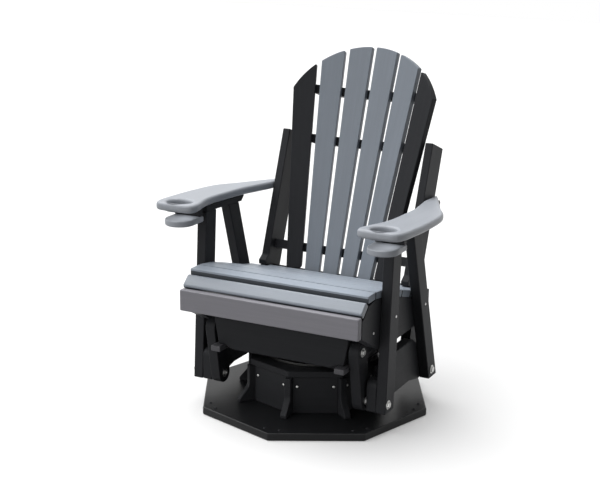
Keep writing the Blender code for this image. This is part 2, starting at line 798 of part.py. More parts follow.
def seat_rail(name, side, parent):
    """The deep contoured board that carries the slats, cut away over the front link."""
    low, high = span(side, PLY_INNER_X, PLY_OUTER_X)
    front = APRON_FRONT_Y + SLAT_STOCK + GAP
    bed = seat_bed(front, SEAT_RAIL_REAR)
    outline = [
        (front, APRON_BOTTOM), (SEAT_RAIL_KNEE_Y, SEAT_RAIL_KNEE_Z),
        (SEAT_RAIL_LOW_Y, SEAT_RAIL_BOTTOM), (SEAT_RAIL_REAR, SEAT_RAIL_BOTTOM),
        *reversed(bed), (front, bed[0][1] - EDGE),
    ]
    board(name, outline, across, low, high, BLACK, parent, SMALL_EDGE, 1)


def apron(parent):
    outline = box_outline(-SEAT_HALF, SEAT_HALF, APRON_BOTTOM, APRON_BOTTOM + APRON_HEIGHT)
    board("apron", outline, facing, APRON_FRONT_Y, APRON_FRONT_Y + SLAT_STOCK, APRON_GREY, parent)


# Back


def back_point(x, along, forward):
    """A place in the leaning frame of the back: sideways, up its slope, and forward of it."""
    y = BACK_FOOT_Y + along * math.sin(BACK_LEAN) - forward * math.cos(BACK_LEAN)
    return (x, y, BACK_FOOT_Z + along * math.cos(BACK_LEAN) + forward * math.sin(BACK_LEAN))


def between(foot, head, along):
    """A size that changes evenly from the seat line to the head of the back."""
    return foot + (head - foot) * along / BACK_HEAD


def slat_centre(rank, along):
    """Sideways and forward place of a back slat's face, on the hollow of the back."""
    arc = rank * between(BACK_PITCH_FOOT, BACK_PITCH_HEAD, along)
    foot = BACK_HOLLOW_RADIUS_FOOT * (1 - math.cos(rank * BACK_PITCH_FOOT / BACK_HOLLOW_RADIUS_FOOT))
    head = BACK_HOLLOW_RADIUS_HEAD * (1 - math.cos(rank * BACK_PITCH_HEAD / BACK_HOLLOW_RADIUS_HEAD))
    return arc * math.cos(slat_turn(rank) / 2), between(foot, head, along)


def slat_turn(rank):
    """How far a back slat is turned towards the sitter."""
    foot = rank * BACK_PITCH_FOOT / BACK_HOLLOW_RADIUS_FOOT
    head = rank * BACK_PITCH_HEAD / BACK_HOLLOW_RADIUS_HEAD
    return (foot + head) / 2


def slat_place(rank, step, along, depth):
    """A point of a back slat: sideways from its centre line, up the slope, into its thickness."""
    x, forward = slat_centre(rank, along)
    turn = slat_turn(rank)
    x += step * math.cos(turn) + depth * math.sin(turn)
    forward += step * math.sin(turn) - depth * math.cos(turn)
    return x, forward


def arch_height(rank, step):
    """Where the arched head of the back cuts a slat, at a step from its centre line."""
    along = BACK_HEAD
    for _ in range(12):
        x, _ = slat_place(rank, step, along, 0)
        along = BACK_HEAD - BACK_ARCH_RADIUS + math.sqrt(BACK_ARCH_RADIUS**2 - x**2)
    return along


def back_ranks():
    """The places of the back slats, counted from the middle of the back."""
    return [i - (BACK_SLAT_COUNT - 1) / 2 for i in range(BACK_SLAT_COUNT)]


def back_slat(name, rank, kind, parent):
    """One fanned slat, wider at its head, whose top follows the arch.

    Its foot is cut level and its head square. The outermost slats start just above the seat,
    the others behind it.
    """
    start = OUTER_SLAT_START if rank in (back_ranks()[0], back_ranks()[-1]) else -BACK_TAIL
    foot = between(BACK_SLAT_FOOT_WIDTH, BACK_SLAT_HEAD_WIDTH, start) / 2
    outline = [(-foot, start), (foot, start)]
    for i in range(HEAD_STEPS + 1):
        share = 1 - 2 * i / HEAD_STEPS
        along = BACK_HEAD
        for _ in range(8):
            step = share * between(BACK_SLAT_FOOT_WIDTH, BACK_SLAT_HEAD_WIDTH, along) / 2
            along = arch_height(rank, step)
        outline.append((step, along))

    def place(step, along, depth):
        x, forward = slat_place(rank, step, along, depth)
        _, centre = slat_centre(rank, along)
        level = between(1, 0, along) * (forward - centre) * math.tan(BACK_LEAN)
        return back_point(x, along - level, forward)

    board(name, outline, place, 0, SLAT_STOCK, kind, parent)


def batten(name, along, width, end_x, parent):
    """A back batten, its front edge cut to the slats' backs and its rear edge straight."""
    half = between(BACK_SLAT_FOOT_WIDTH, BACK_SLAT_HEAD_WIDTH, along) / 2
    front = [
        slat_place(rank, step, along, SLAT_STOCK + BATTEN_GAP)
        for rank in back_ranks() for step in (-half, half)
    ]
    inner = [point for point in front if abs(point[0]) < end_x]
    (x0, forward0), (x1, forward1) = front[-2:]
    slope = 0 if end_x > x1 else (forward1 - forward0) / (x1 - x0)
    end_forward = inner[-1][1] + slope * (end_x - inner[-1][0])
    rear = -SLAT_STOCK - BATTEN_DEPTH
    outline = [(-end_x, end_forward), *inner, (end_x, end_forward), (end_x, rear), (-end_x, rear)]

    def place(x, forward, slope):
        return back_point(x, slope, forward)

    board(name, outline, place, along - width / 2, along + width / 2, BLACK, parent,
          SMALL_EDGE, 1)


def battens(parent):
    """Two short battens on the fan; the lowest batten and the foot rail span the uprights."""
    upright_face = UPRIGHT_INNER_X - GAP
    batten("back_foot_rail", -BACK_TAIL + FOOT_RAIL_WIDTH / 2, FOOT_RAIL_WIDTH, upright_face, parent)
    batten("back_batten_lower", BATTEN_LOWER, BATTEN_WIDTH, upright_face, parent)
    for name, along in (("back_batten_middle", BATTEN_MIDDLE), ("back_batten_upper", BATTEN_HIGH)):
        centre, _ = slat_centre(back_ranks()[-1], along)
        batten(name, along, BATTEN_WIDTH, centre - BATTEN_END_INSET, parent)


def back_upright(name, side, parent):
    """The leaning board beside the back, notched over the last seat slat, with a square head."""
    low, high = span(side, UPRIGHT_INNER_X, PLY_INNER_X - GAP)
    lean = math.tan(UPRIGHT_LEAN)
    foot = Vector((UPRIGHT_FRONT_Y, UPRIGHT_FOOT_Z))
    head = foot + Vector((math.sin(UPRIGHT_LEAN), math.cos(UPRIGHT_LEAN))) * UPRIGHT_LENGTH
    behind = Vector((math.cos(UPRIGHT_LEAN), -math.sin(UPRIGHT_LEAN))) * UPRIGHT_DEPTH
    outline = [
        (UPRIGHT_NOTCH_Y, foot.y), (foot.x + UPRIGHT_DEPTH / math.cos(UPRIGHT_LEAN), foot.y),
        head + behind, head, (foot.x + lean * (UPRIGHT_KNEE_Z - foot.y), UPRIGHT_KNEE_Z),
        (UPRIGHT_TOE_Y, UPRIGHT_TOE_TOP), (UPRIGHT_TOE_Y, UPRIGHT_TOE_BOTTOM),
        (UPRIGHT_NOTCH_Y, UPRIGHT_TOE_BOTTOM),
    ]
    board(name, outline, across, low, high, BLACK, parent)


# Arms and cup holders


def arm_outline():
    """The arm from above: broad round the cup hole, waisted behind it, pointed at the rear."""
    inner = PLY_INNER_X + EDGE
    wide, long = ARM_OUTER_X - inner, ARM_REAR_Y - ARM_FRONT_Y
    return flowing([(inner + u * wide, ARM_FRONT_Y + v * long) for u, v in ARM_SHARES])


def tilt_arm(thing):
    """Slopes an arm down towards the rear about the cup hole's line."""
    origin = Vector((0, CUP_Y, ARM_TOP)) - thing.parent.location
    for point in thing.data.vertices:
        away = point.co - origin
        y = away.y * math.cos(ARM_FALL) + away.z * math.sin(ARM_FALL)
        z = away.z * math.cos(ARM_FALL) - away.y * math.sin(ARM_FALL)
        point.co = origin + Vector((away.x, y, z))


def arm(name, side, parent):
    """A contoured arm with rounded edges and a cup hole near its front."""
    outline = mirrored(arm_outline(), side)
    low = ARM_TOP - ARM_STOCK
    made = board(name, outline, upward, low, ARM_TOP, PALE, parent, ARM_ROUND, ARM_ROUND_STEPS)
    hole = round_outline(side * CUP_X, CUP_Y, CUP_RADIUS, CUP_SIDES)
    tool = helper(f"{name}_cup", hole, upward, low - OVERRUN, ARM_TOP + OVERRUN, parent)
    tilt_arm(made)
    tilt_arm(tool)
    combine(made, tool)


def cup_holder(name, side, parent):
    """A round-ended shelf under the cup hole, hung from the arm by an upright plate on it."""
    top = ARM_TOP - ARM_STOCK - SHELF_DROP
    rear = HANGER_FRONT_Y + HANGER_THICK
    outline = [
        (side * CUP_X + SHELF_RADIUS * math.cos(math.pi * (1 + i / ROUND_SIDES)),
         CUP_Y + SHELF_RADIUS * math.sin(math.pi * (1 + i / ROUND_SIDES)))
        for i in range(ROUND_SIDES + 1)
    ]
    outline += [(side * CUP_X + SHELF_RADIUS, rear), (side * CUP_X - SHELF_RADIUS, rear)]
    made = board(name, outline, upward, top - SHELF_THICK, top, PALE, parent)
    hanger = [(HANGER_FRONT_Y, top - OVERRUN), (rear - SMALL_EDGE, top - OVERRUN),
              (rear - SMALL_EDGE, arm_underside(rear)), (HANGER_FRONT_Y, arm_underside(HANGER_FRONT_Y))]
    low, high = span(side, CUP_X - SHELF_RADIUS + SMALL_EDGE, CUP_X + SHELF_RADIUS - SMALL_EDGE)
    combine(made, helper(f"{name}_hanger", hanger, across, low, high, parent), "UNION")


# Assembly


def build_base(axis, swivel_axis):
    base_plate(axis)
    pedestal_drum(axis)
    pedestal_top(axis)
    bearing(axis, swivel_axis)


def build_swivel_frame(axis):
    swivel_board(axis)
    for end, sign in ENDS:
        swivel_rail(f"swivel_rail_{end}", sign, axis)
        for hand, side in HANDS:
            upper_bolt(f"upper_bolt_{end}_{hand}", sign * TOP_PIVOT_REACH, side, axis)
    for hand, side in HANDS:
        bearer(f"bearer_{hand}", side, axis)
        swivel_side(f"swivel_side_{hand}", side, axis)


def build_links():
    for end, sign in ENDS:
        for hand, side in HANDS:
            place = (side * LINK_INNER_X, sign * TOP_PIVOT_REACH, TOP_PIVOT_HEIGHT)
            link(f"link_{end}_{hand}", side, sign, pivot(f"link_axis_{end}_{hand}", place))


def build_side_frames(axis):
    for hand, side in HANDS:
        post(f"front_post_{hand}", side, axis)
        rear_leg(f"rear_leg_{hand}", side, axis)
        lower_rail(f"lower_rail_{hand}", side, axis)
        seat_rail(f"seat_rail_{hand}", side, axis)
        arm_rail(f"arm_rail_{hand}", side, axis)
        arm(f"arm_{hand}", side, axis)
        cup_holder(f"cup_holder_{hand}", side, axis)
        back_upright(f"back_upright_{hand}", side, axis)
        for end, sign in ENDS:
            lower_bolt(f"lower_bolt_{end}_{hand}", sign * LOWER_PIVOT_REACH, side, axis)


def build_seat_and_back(axis):
    apron(axis)
    seat_slats(axis)
    seat_slat_last(axis)
    outermost = back_ranks()[-1]
    for number, rank in enumerate(back_ranks(), start=1):
        kind = BLACK if abs(rank) == outermost else GREY
        back_slat(f"back_slat_{number}", rank, kind, axis)
    battens(axis)


def build():
    clear_scene()
    base_axis = pivot("base_axis", (0, 0, 0), BASE_TURN)
    swivel_axis = pivot("swivel_axis", (0, 0, 0))
    chair_axis = pivot("chair_axis", (-LINK_OUTER_X, -LOWER_PIVOT_REACH, LOWER_PIVOT_HEIGHT))
    build_base(base_axis, swivel_axis)
    build_swivel_frame(swivel_axis)
    build_links()
    build_side_frames(chair_axis)
    build_seat_and_back(chair_axis)


BLACK = finish("black_board", (0.014, 0.0145, 0.0165), 0.5)
GREY = finish("grey_slat", (0.21, 0.23, 0.26), 0.5)
APRON_GREY = finish("apron_grey", (0.19, 0.185, 0.205), 0.5)
PALE = finish("pale_arm", (0.34, 0.36, 0.395), 0.45)
STEEL = finish("steel", (0.60, 0.60, 0.60), 0.35, 1.0)

build()
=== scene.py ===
"""Visible pieces, finishes, light and camera of a swivel glider armchair, round its fixed frame."""

from math import atan, atan2, cos, pi, radians, sin, sqrt, tan, tau

import bmesh
import bpy
import numpy as np
from mathutils import Matrix, Vector
from mathutils.geometry import tessellate_polygon


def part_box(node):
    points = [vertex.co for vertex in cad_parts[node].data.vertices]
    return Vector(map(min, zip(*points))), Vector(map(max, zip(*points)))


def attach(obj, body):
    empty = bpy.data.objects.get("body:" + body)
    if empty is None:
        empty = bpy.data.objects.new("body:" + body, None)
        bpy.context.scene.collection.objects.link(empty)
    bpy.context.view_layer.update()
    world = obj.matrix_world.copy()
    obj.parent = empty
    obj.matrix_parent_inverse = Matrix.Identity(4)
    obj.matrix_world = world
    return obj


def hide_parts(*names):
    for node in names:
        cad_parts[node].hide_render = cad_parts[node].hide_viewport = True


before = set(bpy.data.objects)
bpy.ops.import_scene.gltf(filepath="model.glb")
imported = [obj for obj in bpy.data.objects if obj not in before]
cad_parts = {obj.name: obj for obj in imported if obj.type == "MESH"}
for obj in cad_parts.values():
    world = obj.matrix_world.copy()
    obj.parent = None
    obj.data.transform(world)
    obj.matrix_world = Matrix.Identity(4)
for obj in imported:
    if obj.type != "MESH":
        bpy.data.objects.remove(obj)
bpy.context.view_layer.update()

bl_info = {
    "name": "Swivel glider armchair",
    "version": (1, 0, 0),
    "blender": (4, 5, 0),
    "location": "View3D > Sidebar > Glider",
    "description": "Builds the visible boards, fasteners and finishes of a swivel glider armchair",
    "category": "Add Mesh",
}

HANDS = (("left", -1), ("right", 1))
ENDS = (("front", -1), ("rear", 1))
OCTANTS = range(8)
TURN = tau / 8
UP = (0, 0, 1.0)
GAP = 0.0003  # between pieces that rest on each other
SMALLEST_STEP = 0.00008  # outline points nearer than this become one
CORNER_OVER_EDGE = 0.0004  # a corner's radius has to be more than the eased edge
SETTLING_ROUNDS = 8  # after which a sum that feeds on its own result stands still
SEED_STEP = np.array([1.37, 0.61, 0.43])  # moves each piece's grain on from the last one's
FULL_AREA_WEIGHT = 100
CORNER_WEAR = 0.7  # the paler edge inside a corner, edge wear and painted highlight, as part of that on an edge
GRAIN_ALONG_CARRY = None
GRAIN_UPWARD = pi / 2
made_pieces = []


# Settings


def property_kind(kind, **looks):
    return lambda name, description, default: kind(
        name=name, description=description, default=default, **looks)


length = property_kind(bpy.props.FloatProperty, unit="LENGTH", precision=4)
angle = property_kind(bpy.props.FloatProperty, unit="ROTATION")
share = property_kind(bpy.props.FloatProperty, min=0.0, max=1.0, subtype="FACTOR")
colour = property_kind(bpy.props.FloatVectorProperty, min=0.0, max=1.0, subtype="COLOR")


class GLIDER_BaseSizes(bpy.types.PropertyGroup):
    turn: angle("Base turn", "How far the base stands turned under the chair", radians(28.0))
    plate_across: length("Plate width", "Across the flats of the base plate", 0.680)
    drum_across: length("Drum width", "Across the faces of the pedestal's panels", 0.380)
    panel: length("Panel stock", "Thickness of a drum panel", 0.022)
    fin: length("Fin stock", "Thickness of a fin", 0.020)
    fin_inner: length("Fin inside", "Distance of a fin's inner edge from the axis", 0.150)
    fin_reach: length("Fin reach", "Distance of a fin's upper edge from the axis", 0.220)
    fin_foot: length("Fin foot", "Distance of a fin's toe from the axis", 0.252)
    fin_shoulder: length("Fin shoulder", "Height at which a fin's foot starts to flare", 0.050)
    fin_toe: length("Fin toe", "Height of a fin's toe", 0.010)
    top_across: length("Top board width", "Across the flats of the pedestal's top board", 0.392)
    screw_spread: length("Panel screws", "Distance of a panel's screws from its middle", 0.055)
    screw_drop: length("Screw drop", "Depth of the panel screws below the drum's top", 0.030)


class GLIDER_SwingSizes(bpy.types.PropertyGroup):
    link_width: length("Link width", "Width of a swing link", 0.060)
    upper_y: length("Upper pivots", "Distance of the upper pivots from the swivel axis", 0.199)
    run: length("Link run", "How far a link's foot stands in from its head", 0.031)
    link_length: length("Link length", "Distance between a link's pivots", 0.161)
    lower_z: length("Lower pivot height", "Height of the lower pivots above the floor", 0.099)
    washer: length("Washer", "Radius of the pivots' washers", 0.0135)
    washer_thick: length("Washer stock", "Thickness of the washers under heads and nuts", 0.0012)
    head: length("Bolt head", "Radius of a pivot bolt's hexagonal head", 0.0096)
    head_height: length("Head height", "Height of a pivot bolt's head", 0.0046)
    nut: length("Nut", "Radius of a pivot bolt's nut", 0.0072)
    nut_height: length("Nut height", "Height of a pivot bolt's nut", 0.0065)
    shank: length("Shank", "Radius of a pivot bolt", 0.004)


class GLIDER_SeatSizes(bpy.types.PropertyGroup):
    crest_y: length("Crest place", "Where the seat is highest, from the axis", -0.225)
    crest_z: length("Crest height", "Height of the seat's crest", 0.446)
    low_y: length("Low place", "Where the seat's line is lowest", 0.185)
    low_z: length("Low height", "Height of the seat's line at the back", 0.364)
    slat: length("Seat slat", "Width of a seat slat", 0.0606)
    slat_gap: length("Slat gap", "Space between seat slats", 0.006)
    first: length("First slat", "Width of the slat behind the rolled one", 0.0475)
    first_y: length("First slat place", "Front edge of the first flat slat", -0.2505)
    roll: length("Rolled slat", "Width of the slat at the seat's front", 0.0455)
    roll_y: length("Roll place", "Rear top edge of the rolled slat", -0.2625)
    roll_z: length("Roll height", "Height of the rolled slat's rear top edge", 0.4335)
    roll_tilt: angle("Roll tilt", "How far the rolled slat is turned down", radians(41.0))
    stock: length("Slat stock", "Thickness of the seat and back slats", 0.022)


class GLIDER_BackSizes(bpy.types.PropertyGroup):
    lean: angle("Back lean", "How far the back leans from upright", radians(18.9))
    foot_y: length("Back place", "Where the back meets the seat's line", 0.165)
    foot_z: length("Back foot height", "Height at which the back meets the seat's line", 0.3655)
    foot_width: length("Slat foot width", "Width of a back slat at the seat", 0.0485)
    head_width: length("Slat head width", "Width of a back slat at the head", 0.0770)
    foot_pitch: length("Foot pitch", "Spacing of the back slats at the seat", 0.0611)
    head_pitch: length("Head pitch", "Spacing of the back slats at the head", 0.0907)
    head: length("Back height", "Height of the back along its slope", 0.7315)
    tail: length("Slat tail", "How far the inner slats run below the seat's line", 0.038)
    outer_start: length("Outer start", "Where the outermost slats start at the seat", -0.005)
    arch: length("Arch", "Radius of the arched head", 0.265)
    foot_hollow: length("Foot hollow", "Radius of the back's hollow at the seat", 0.550)
    head_hollow: length("Head hollow", "Radius of the back's hollow at the head", 0.650)
    batten_depth: length("Batten depth", "Depth of a batten behind the middle slats", 0.025)
    batten_inset: length("Batten inset", "How far short battens stop inside the outer slats", 0.021)


class GLIDER_ArmSizes(bpy.types.PropertyGroup):
    top: length("Arm height", "Height of the arms at the cup holes", 0.6455)
    stock: length("Arm stock", "Thickness of an arm", 0.0255)
    fall: angle("Arm fall", "How far an arm slopes down to the rear", radians(2.5))
    front_y: length("Arm front", "Front edge of an arm", -0.291)
    rear_y: length("Arm rear", "Rear tip of an arm", 0.300)
    inner_x: length("Arm inside", "Innermost edge of an arm from the middle", 0.265)
    outer_x: length("Arm outside", "Outer edge of an arm from the middle", 0.405)
    cup_x: length("Cup place", "Distance of a cup hole from the middle", 0.331)
    cup_y: length("Cup line", "Distance of the cup holes from the axis", -0.243)
    cup: length("Cup hole", "Radius of a cup hole", 0.0375)
    shelf: length("Cup shelf", "Radius of a cup shelf", 0.046)
    shelf_drop: length("Shelf drop", "Space between an arm and its cup shelf", 0.026)
    rail_depth: length("Arm rail", "Depth of the bar below an arm", 0.018)
    bolt: length("Arm bolt", "Radius of the domed bolt heads on the arms' outer edges", 0.0095)
    bolt_y: length("Arm bolt place", "Distance of the arms' bolt heads behind the axis", 0.252)


class GLIDER_Finish(bpy.types.PropertyGroup):
    black: colour("Black boards", "Colour of the frame, base and outer back slats",
                  (0.0235, 0.0243, 0.0270))
    grey: colour("Grey slats", "Colour of the seat and inner back slats", (0.206, 0.232, 0.268))
    apron: colour("Apron", "Colour of the seat's apron", (0.230, 0.226, 0.249))
    pale: colour("Arms", "Colour of the arms and cup holders", (0.340, 0.360, 0.395))
    steel: colour("Fasteners", "Colour of the bolts, washers and screws", (0.50, 0.50, 0.49))
    edge: length("Eased edge", "Radius of the boards' eased edges", 0.003)
    arm_edge: length("Arm edge", "Radius of the arms' rounded edges", 0.009)
    # The paler band along the edges is edge wear and a painted highlight on the rounding
    wear: share("Edge wear", "How much paler the boards are along their edges", 0.35)


GROUPS = {
    "glider_base": GLIDER_BaseSizes,
    "glider_swing": GLIDER_SwingSizes,
    "glider_seat": GLIDER_SeatSizes,
    "glider_back": GLIDER_BackSizes,
    "glider_arm": GLIDER_ArmSizes,
    "glider_finish": GLIDER_Finish,
}


def settings(name):
    return getattr(bpy.context.scene, f"glider_{name}")


# Surfaces


def polar(reach, turn, *more):
    """Points at a reach and a turn: the reach times cosine and sine, and further columns."""
    return np.stack([reach * np.cos(turn), reach * np.sin(turn), *more], axis=-1)


def rounded(corners, radius=None, steps=6):
    """Outline with arcs for corners, as points and how far inside its arc each point lies.

    An arc's centre lies on the corner's bisector at radius / sin(half angle). Its points turn
    evenly from the one side's touching point to the other's, radius / tan(half angle) away.
    Points that fall together on a corner that is nearly straight become one.
    """
    rows = np.array([(*c[:2], c[2] if len(c) > 2 else radius) for c in corners], float)
    here, size = rows[:, :2], rows[:, 2:]
    back = np.roll(here, 1, axis=0) - here
    ahead = np.roll(here, -1, axis=0) - here
    back /= np.linalg.norm(back, axis=1, keepdims=True)
    ahead /= np.linalg.norm(ahead, axis=1, keepdims=True)
    half = np.arccos(np.clip((back * ahead).sum(axis=1, keepdims=True), -1, 1)) / 2
    middle = back + ahead
    middle /= np.maximum(np.linalg.norm(middle, axis=1, keepdims=True), 1e-9)
    centre = here + middle * size / np.sin(half)
    start = here + back * size / np.tan(half) - centre
    end = here + ahead * size / np.tan(half) - centre
    first = np.arctan2(start[:, 1], start[:, 0])
    swing = (np.arctan2(end[:, 1], end[:, 0]) - first + pi) % tau - pi
    t = np.linspace(0, 1, steps + 1)
    angles = first[:, None] + swing[:, None] * t
    points = (centre[:, None] + polar(size, angles)).reshape(-1, 2)
    inside = np.broadcast_to(np.sin(pi * t), angles.shape).reshape(-1)
    apart = np.linalg.norm(np.roll(points, -1, axis=0) - points, axis=1) > SMALLEST_STEP
    return points[apart], inside[apart]


def cornerless(points):
    """An outline none of whose points lies inside a corner's arc."""
    return points, np.zeros(len(points))


def circle(u, v, radius, sides, start=0.0):
    """Points evenly round a circle."""
    turn = start + tau * np.arange(sides) / sides
    return cornerless(polar(radius, turn) + (u, v))


def flowing(points, per_span=6):
    """Closed Catmull-Rom curve: each span is the cubic through its two ends whose slopes there
    are half the step between the neighbours."""
    a, b, c, d = (np.roll(points, 1 - k, axis=0)[:, None] for k in range(4))
    t = (np.arange(per_span) / per_span)[None, :, None]
    bend, twist = 2 * a - 5 * b + 4 * c - d, 3 * b - a - 3 * c + d
    return ((2 * b + (c - a) * t + bend * t**2 + twist * t**3) / 2).reshape(-1, 2)


def octagon(width, corner):
    """Regular octagon whose corners lie at half its width over the cosine of half a turn."""
    reach = width / 2 / cos(TURN / 2)
    return rounded(circle(0, 0, reach, len(OCTANTS), TURN / 2)[0], corner)


def box_corners(u0, u1, v0, v1):
    return [(u0, v0), (u1, v0), (u1, v1), (u0, v1)]


# How an outline (u, v) carried along w is placed in X, Y and Z


def turned_about(turn):
    """Reach, height and sideways at a turn about the swivel axis."""
    c, s = cos(turn), sin(turn)
    return lambda u, v, w: (u * c - w * s, u * s + w * c, v)


def across(u, v, w):
    return w, u, v


def upward(u, v, w):
    return u, v, w


def facing(u, v, w):
    return u, w, v


AXES = {across: (1, 2, 0), upward: (0, 1, 2), facing: (0, 2, 1)}


def wall(loop, low, high, edge, rows=5):
    """Side wall of a board as a grid over the outline and a profile.

    With a from 0 to a right angle, the profile stands edge (1 - sin a) inside the outline and
    edge (1 - cos a) from the nearer face, first up from the lower face and then up to the other.
    Moving inside is along the mitre, (n1 + n2) / (1 + n1 . n2) of the neighbouring sides' normals.
    Wear and a painted highlight are greatest half way round the edge, and lower inside a corner;
    where the outline marks a point below 0, the wall there between the rims carries painted shade.
    """
    points, corner = loop
    step = np.roll(points, -1, axis=0) - points
    step /= np.linalg.norm(step, axis=1, keepdims=True)
    normal = np.stack([step[:, 1], -step[:, 0]], axis=-1)
    before = np.roll(normal, 1, axis=0)
    mitre = (normal + before) / (1 + (normal * before).sum(axis=1, keepdims=True))
    a = np.linspace(0, pi / 2, rows)
    inset, rise = edge * (1 - np.sin(a)), edge * (1 - np.cos(a))
    inset = np.concatenate([inset, inset[::-1]])
    level = np.concatenate([low + rise, (high - rise)[::-1]])[:, None, None]
    flat = points[None] - mitre[None] * inset[:, None, None]
    bend = np.concatenate([np.sin(2 * a), np.sin(2 * a)[::-1]])
    worn = np.maximum(bend[:, None], CORNER_WEAR * corner[None] * (bend[:, None] + 1) / 2)
    worn[1:-1] = np.where(corner < 0, corner, worn[1:-1])
    return np.concatenate([flat, np.broadcast_to(level, (*flat.shape[:2], 1))], axis=-1), worn


def grid_quads(rows, columns, start=0):
    """Faces of a grid that closes on itself along its columns."""
    i = np.arange(rows * columns).reshape(rows, columns) + start
    j = np.roll(i, -1, axis=1)
    return np.stack([i[:-1], j[:-1], j[1:], i[1:]], axis=-1).reshape(-1, 4).tolist()


def counterclockwise(loop, wanted=True):
    """The outline in the wanted direction, by the sign of the area inside it."""
    points, corner = loop
    x, y = points.T
    area = (x * np.roll(y, -1) - y * np.roll(x, -1)).sum()
    return loop if (area > 0) == wanted else (points[::-1], corner[::-1])


def slab(loops, low, high, edge):
    """Board between two faces: a wall round its outline, one round each hole, and flat faces."""
    loops = [counterclockwise(loop, i == 0) for i, loop in enumerate(loops)]
    points, worn, faces, start = [], [], [], 0
    rims = {0: [], -1: []}
    for loop in loops:
        grid, bend = wall(loop, low, high, edge)
        rows, columns = grid.shape[:2]
        faces += grid_quads(rows, columns, start)
        index = np.arange(rows * columns).reshape(rows, columns) + start
        for end in rims:
            rims[end].append((index[end], grid[end]))
        points.append(grid.reshape(-1, 3))
        worn.append(bend.reshape(-1))
        start += rows * columns
    for rim in rims.values():
        if len(rim) == 1:
            faces.append(rim[0][0].tolist())
            continue
        order = np.concatenate([index for index, _ in rim])
        flat = [[Vector(p) for p in ring] for _, ring in rim]
        faces += order[np.array(tessellate_polygon(flat))].tolist()
    return np.concatenate(points), np.concatenate(worn), faces


def turned(profile, sides):
    """Surface of revolution: each profile row's distance along the axis and radius, round it."""
    turn = tau * np.arange(sides) / sides
    along, radius = np.asarray(profile, float).T[:, :, None]
    grid = polar(radius, turn, np.broadcast_to(along, (len(along), sides)))
    faces = grid_quads(len(along), sides)
    faces += [list(range(sides)), list(range((len(along) - 1) * sides, len(along) * sides))]
    return grid.reshape(-1, 3), faces


def copies(points, faces, places, outwards):
    """The same shape at each place, its axis turned to the outward direction there.

    Its other axes are that direction's cross products with Z, or with X where it is steep.
    """
    steep = 0.9
    out = np.broadcast_to(np.asarray(outwards, float), np.shape(places))
    out = out / np.linalg.norm(out, axis=1, keepdims=True)
    helper = np.where(np.abs(out[:, 2:]) > steep, (1.0, 0.0, 0.0), (0.0, 0.0, 1.0))
    side = np.cross(helper, out)
    side /= np.linalg.norm(side, axis=1, keepdims=True)
    axes = np.stack([side, np.cross(out, side), out], axis=1)
    moved = np.einsum("pi,mij->mpj", points, axes) + np.asarray(places, float)[:, None]
    count = len(points)
    many = [[i + m * count for i in face] for m in range(len(moved)) for face in faces]
    return moved.reshape(-1, 3), many


# Pieces


def add_object(name, data):
    made = bpy.data.objects.new(name, data)
    bpy.context.scene.collection.objects.link(made)
    return made


def add_piece(name, points, faces, nodes, body, kind, board=None, worn=None, sharp=None):
    """A piece from points and faces, with its grain coordinates and an attribute that holds its
    edge wear and painted highlight, and painted shade below 0.

    Sharp is the angle in degrees past which an edge is shaded sharp.
    """
    slot, finish = KINDS[kind]
    mesh = bpy.data.meshes.new(name)
    mesh.from_pydata(points.tolist(), [], faces)
    form = bmesh.new()
    form.from_mesh(mesh)
    bmesh.ops.recalc_face_normals(form, faces=form.faces[:])
    form.to_mesh(mesh)
    form.free()
    grain = (points if board is None else board) + len(made_pieces) * SEED_STEP
    wear = np.zeros(len(grain)) if worn is None else worn
    for label, sort, field, values in (("grain", "FLOAT_VECTOR", "vector", grain),
                                       ("worn", "FLOAT", "value", wear)):
        attribute = mesh.attributes.new(label, sort, "POINT")
        attribute.data.foreach_set(field, values.astype(np.float32).ravel())
    mesh.shade_smooth()
    if sharp:
        mesh.set_sharp_from_angle(angle=radians(sharp))
    mesh.materials.append(finish)
    piece = add_object(name, mesh)
    even = piece.modifiers.new("even_shading", "WEIGHTED_NORMAL")
    even.weight = FULL_AREA_WEIGHT
    even.keep_sharp = True
    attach(piece, body)
    if nodes:
        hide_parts(*nodes)
    made_pieces.append(piece)


def add_turned(name, profile, sides, places, outwards, nodes=(), body="chair", kind="steel",
               sharp=None):
    """A turned shape at each place, facing outwards there, all of them one piece."""
    points, faces = copies(*turned(profile, sides), places, outwards)
    add_piece(name, points, faces, nodes, body, kind, sharp=sharp)


def add_board(name, loops, place, span, nodes=(), body="chair", kind="black", edge=None, grain=0.0):
    """A board with eased edges. Grain is its angle in the outline, or None along the carry."""
    edge = settings("finish").edge if edge is None else edge
    flat, worn, faces = slab(loops, *span, edge)
    u, v, w = flat.T
    if grain is GRAIN_ALONG_CARRY:
        board = np.stack([w, u, v], axis=-1)
    else:
        c, s = cos(grain), sin(grain)
        board = np.stack([u * c + v * s, v * c - u * s, w], axis=-1)
    points = np.stack(place(u, v, w), axis=-1)
    add_piece(name, points, faces, nodes, body, kind, board, worn)


def spans(node):
    """From where to where a node reaches in X, in Y and in Z."""
    return list(zip(*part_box(node)))


def node_board(node, place, *loops, span=None, name=None, **looks):
    """A board that stands for one node, and reaches as far as it does along the carry."""
    span = span or spans(node)[AXES[place][2]]
    add_board(name or f"{node}_board", loops, place, span, [node], **looks)


def box_board(node, place, corner, **looks):
    """A board that fills its node's box."""
    u, v = (spans(node)[axis] for axis in AXES[place][:2])
    node_board(node, place, rounded(box_corners(*u, *v), corner), **looks)


def plain_corner():
    return settings("finish").edge + CORNER_OVER_EDGE


# Finishes


MIX_FACTOR, MIX_FIRST, MIX_SECOND, MIX_RESULT = 0, 6, 7, 2  # a Mix node's sockets for colours


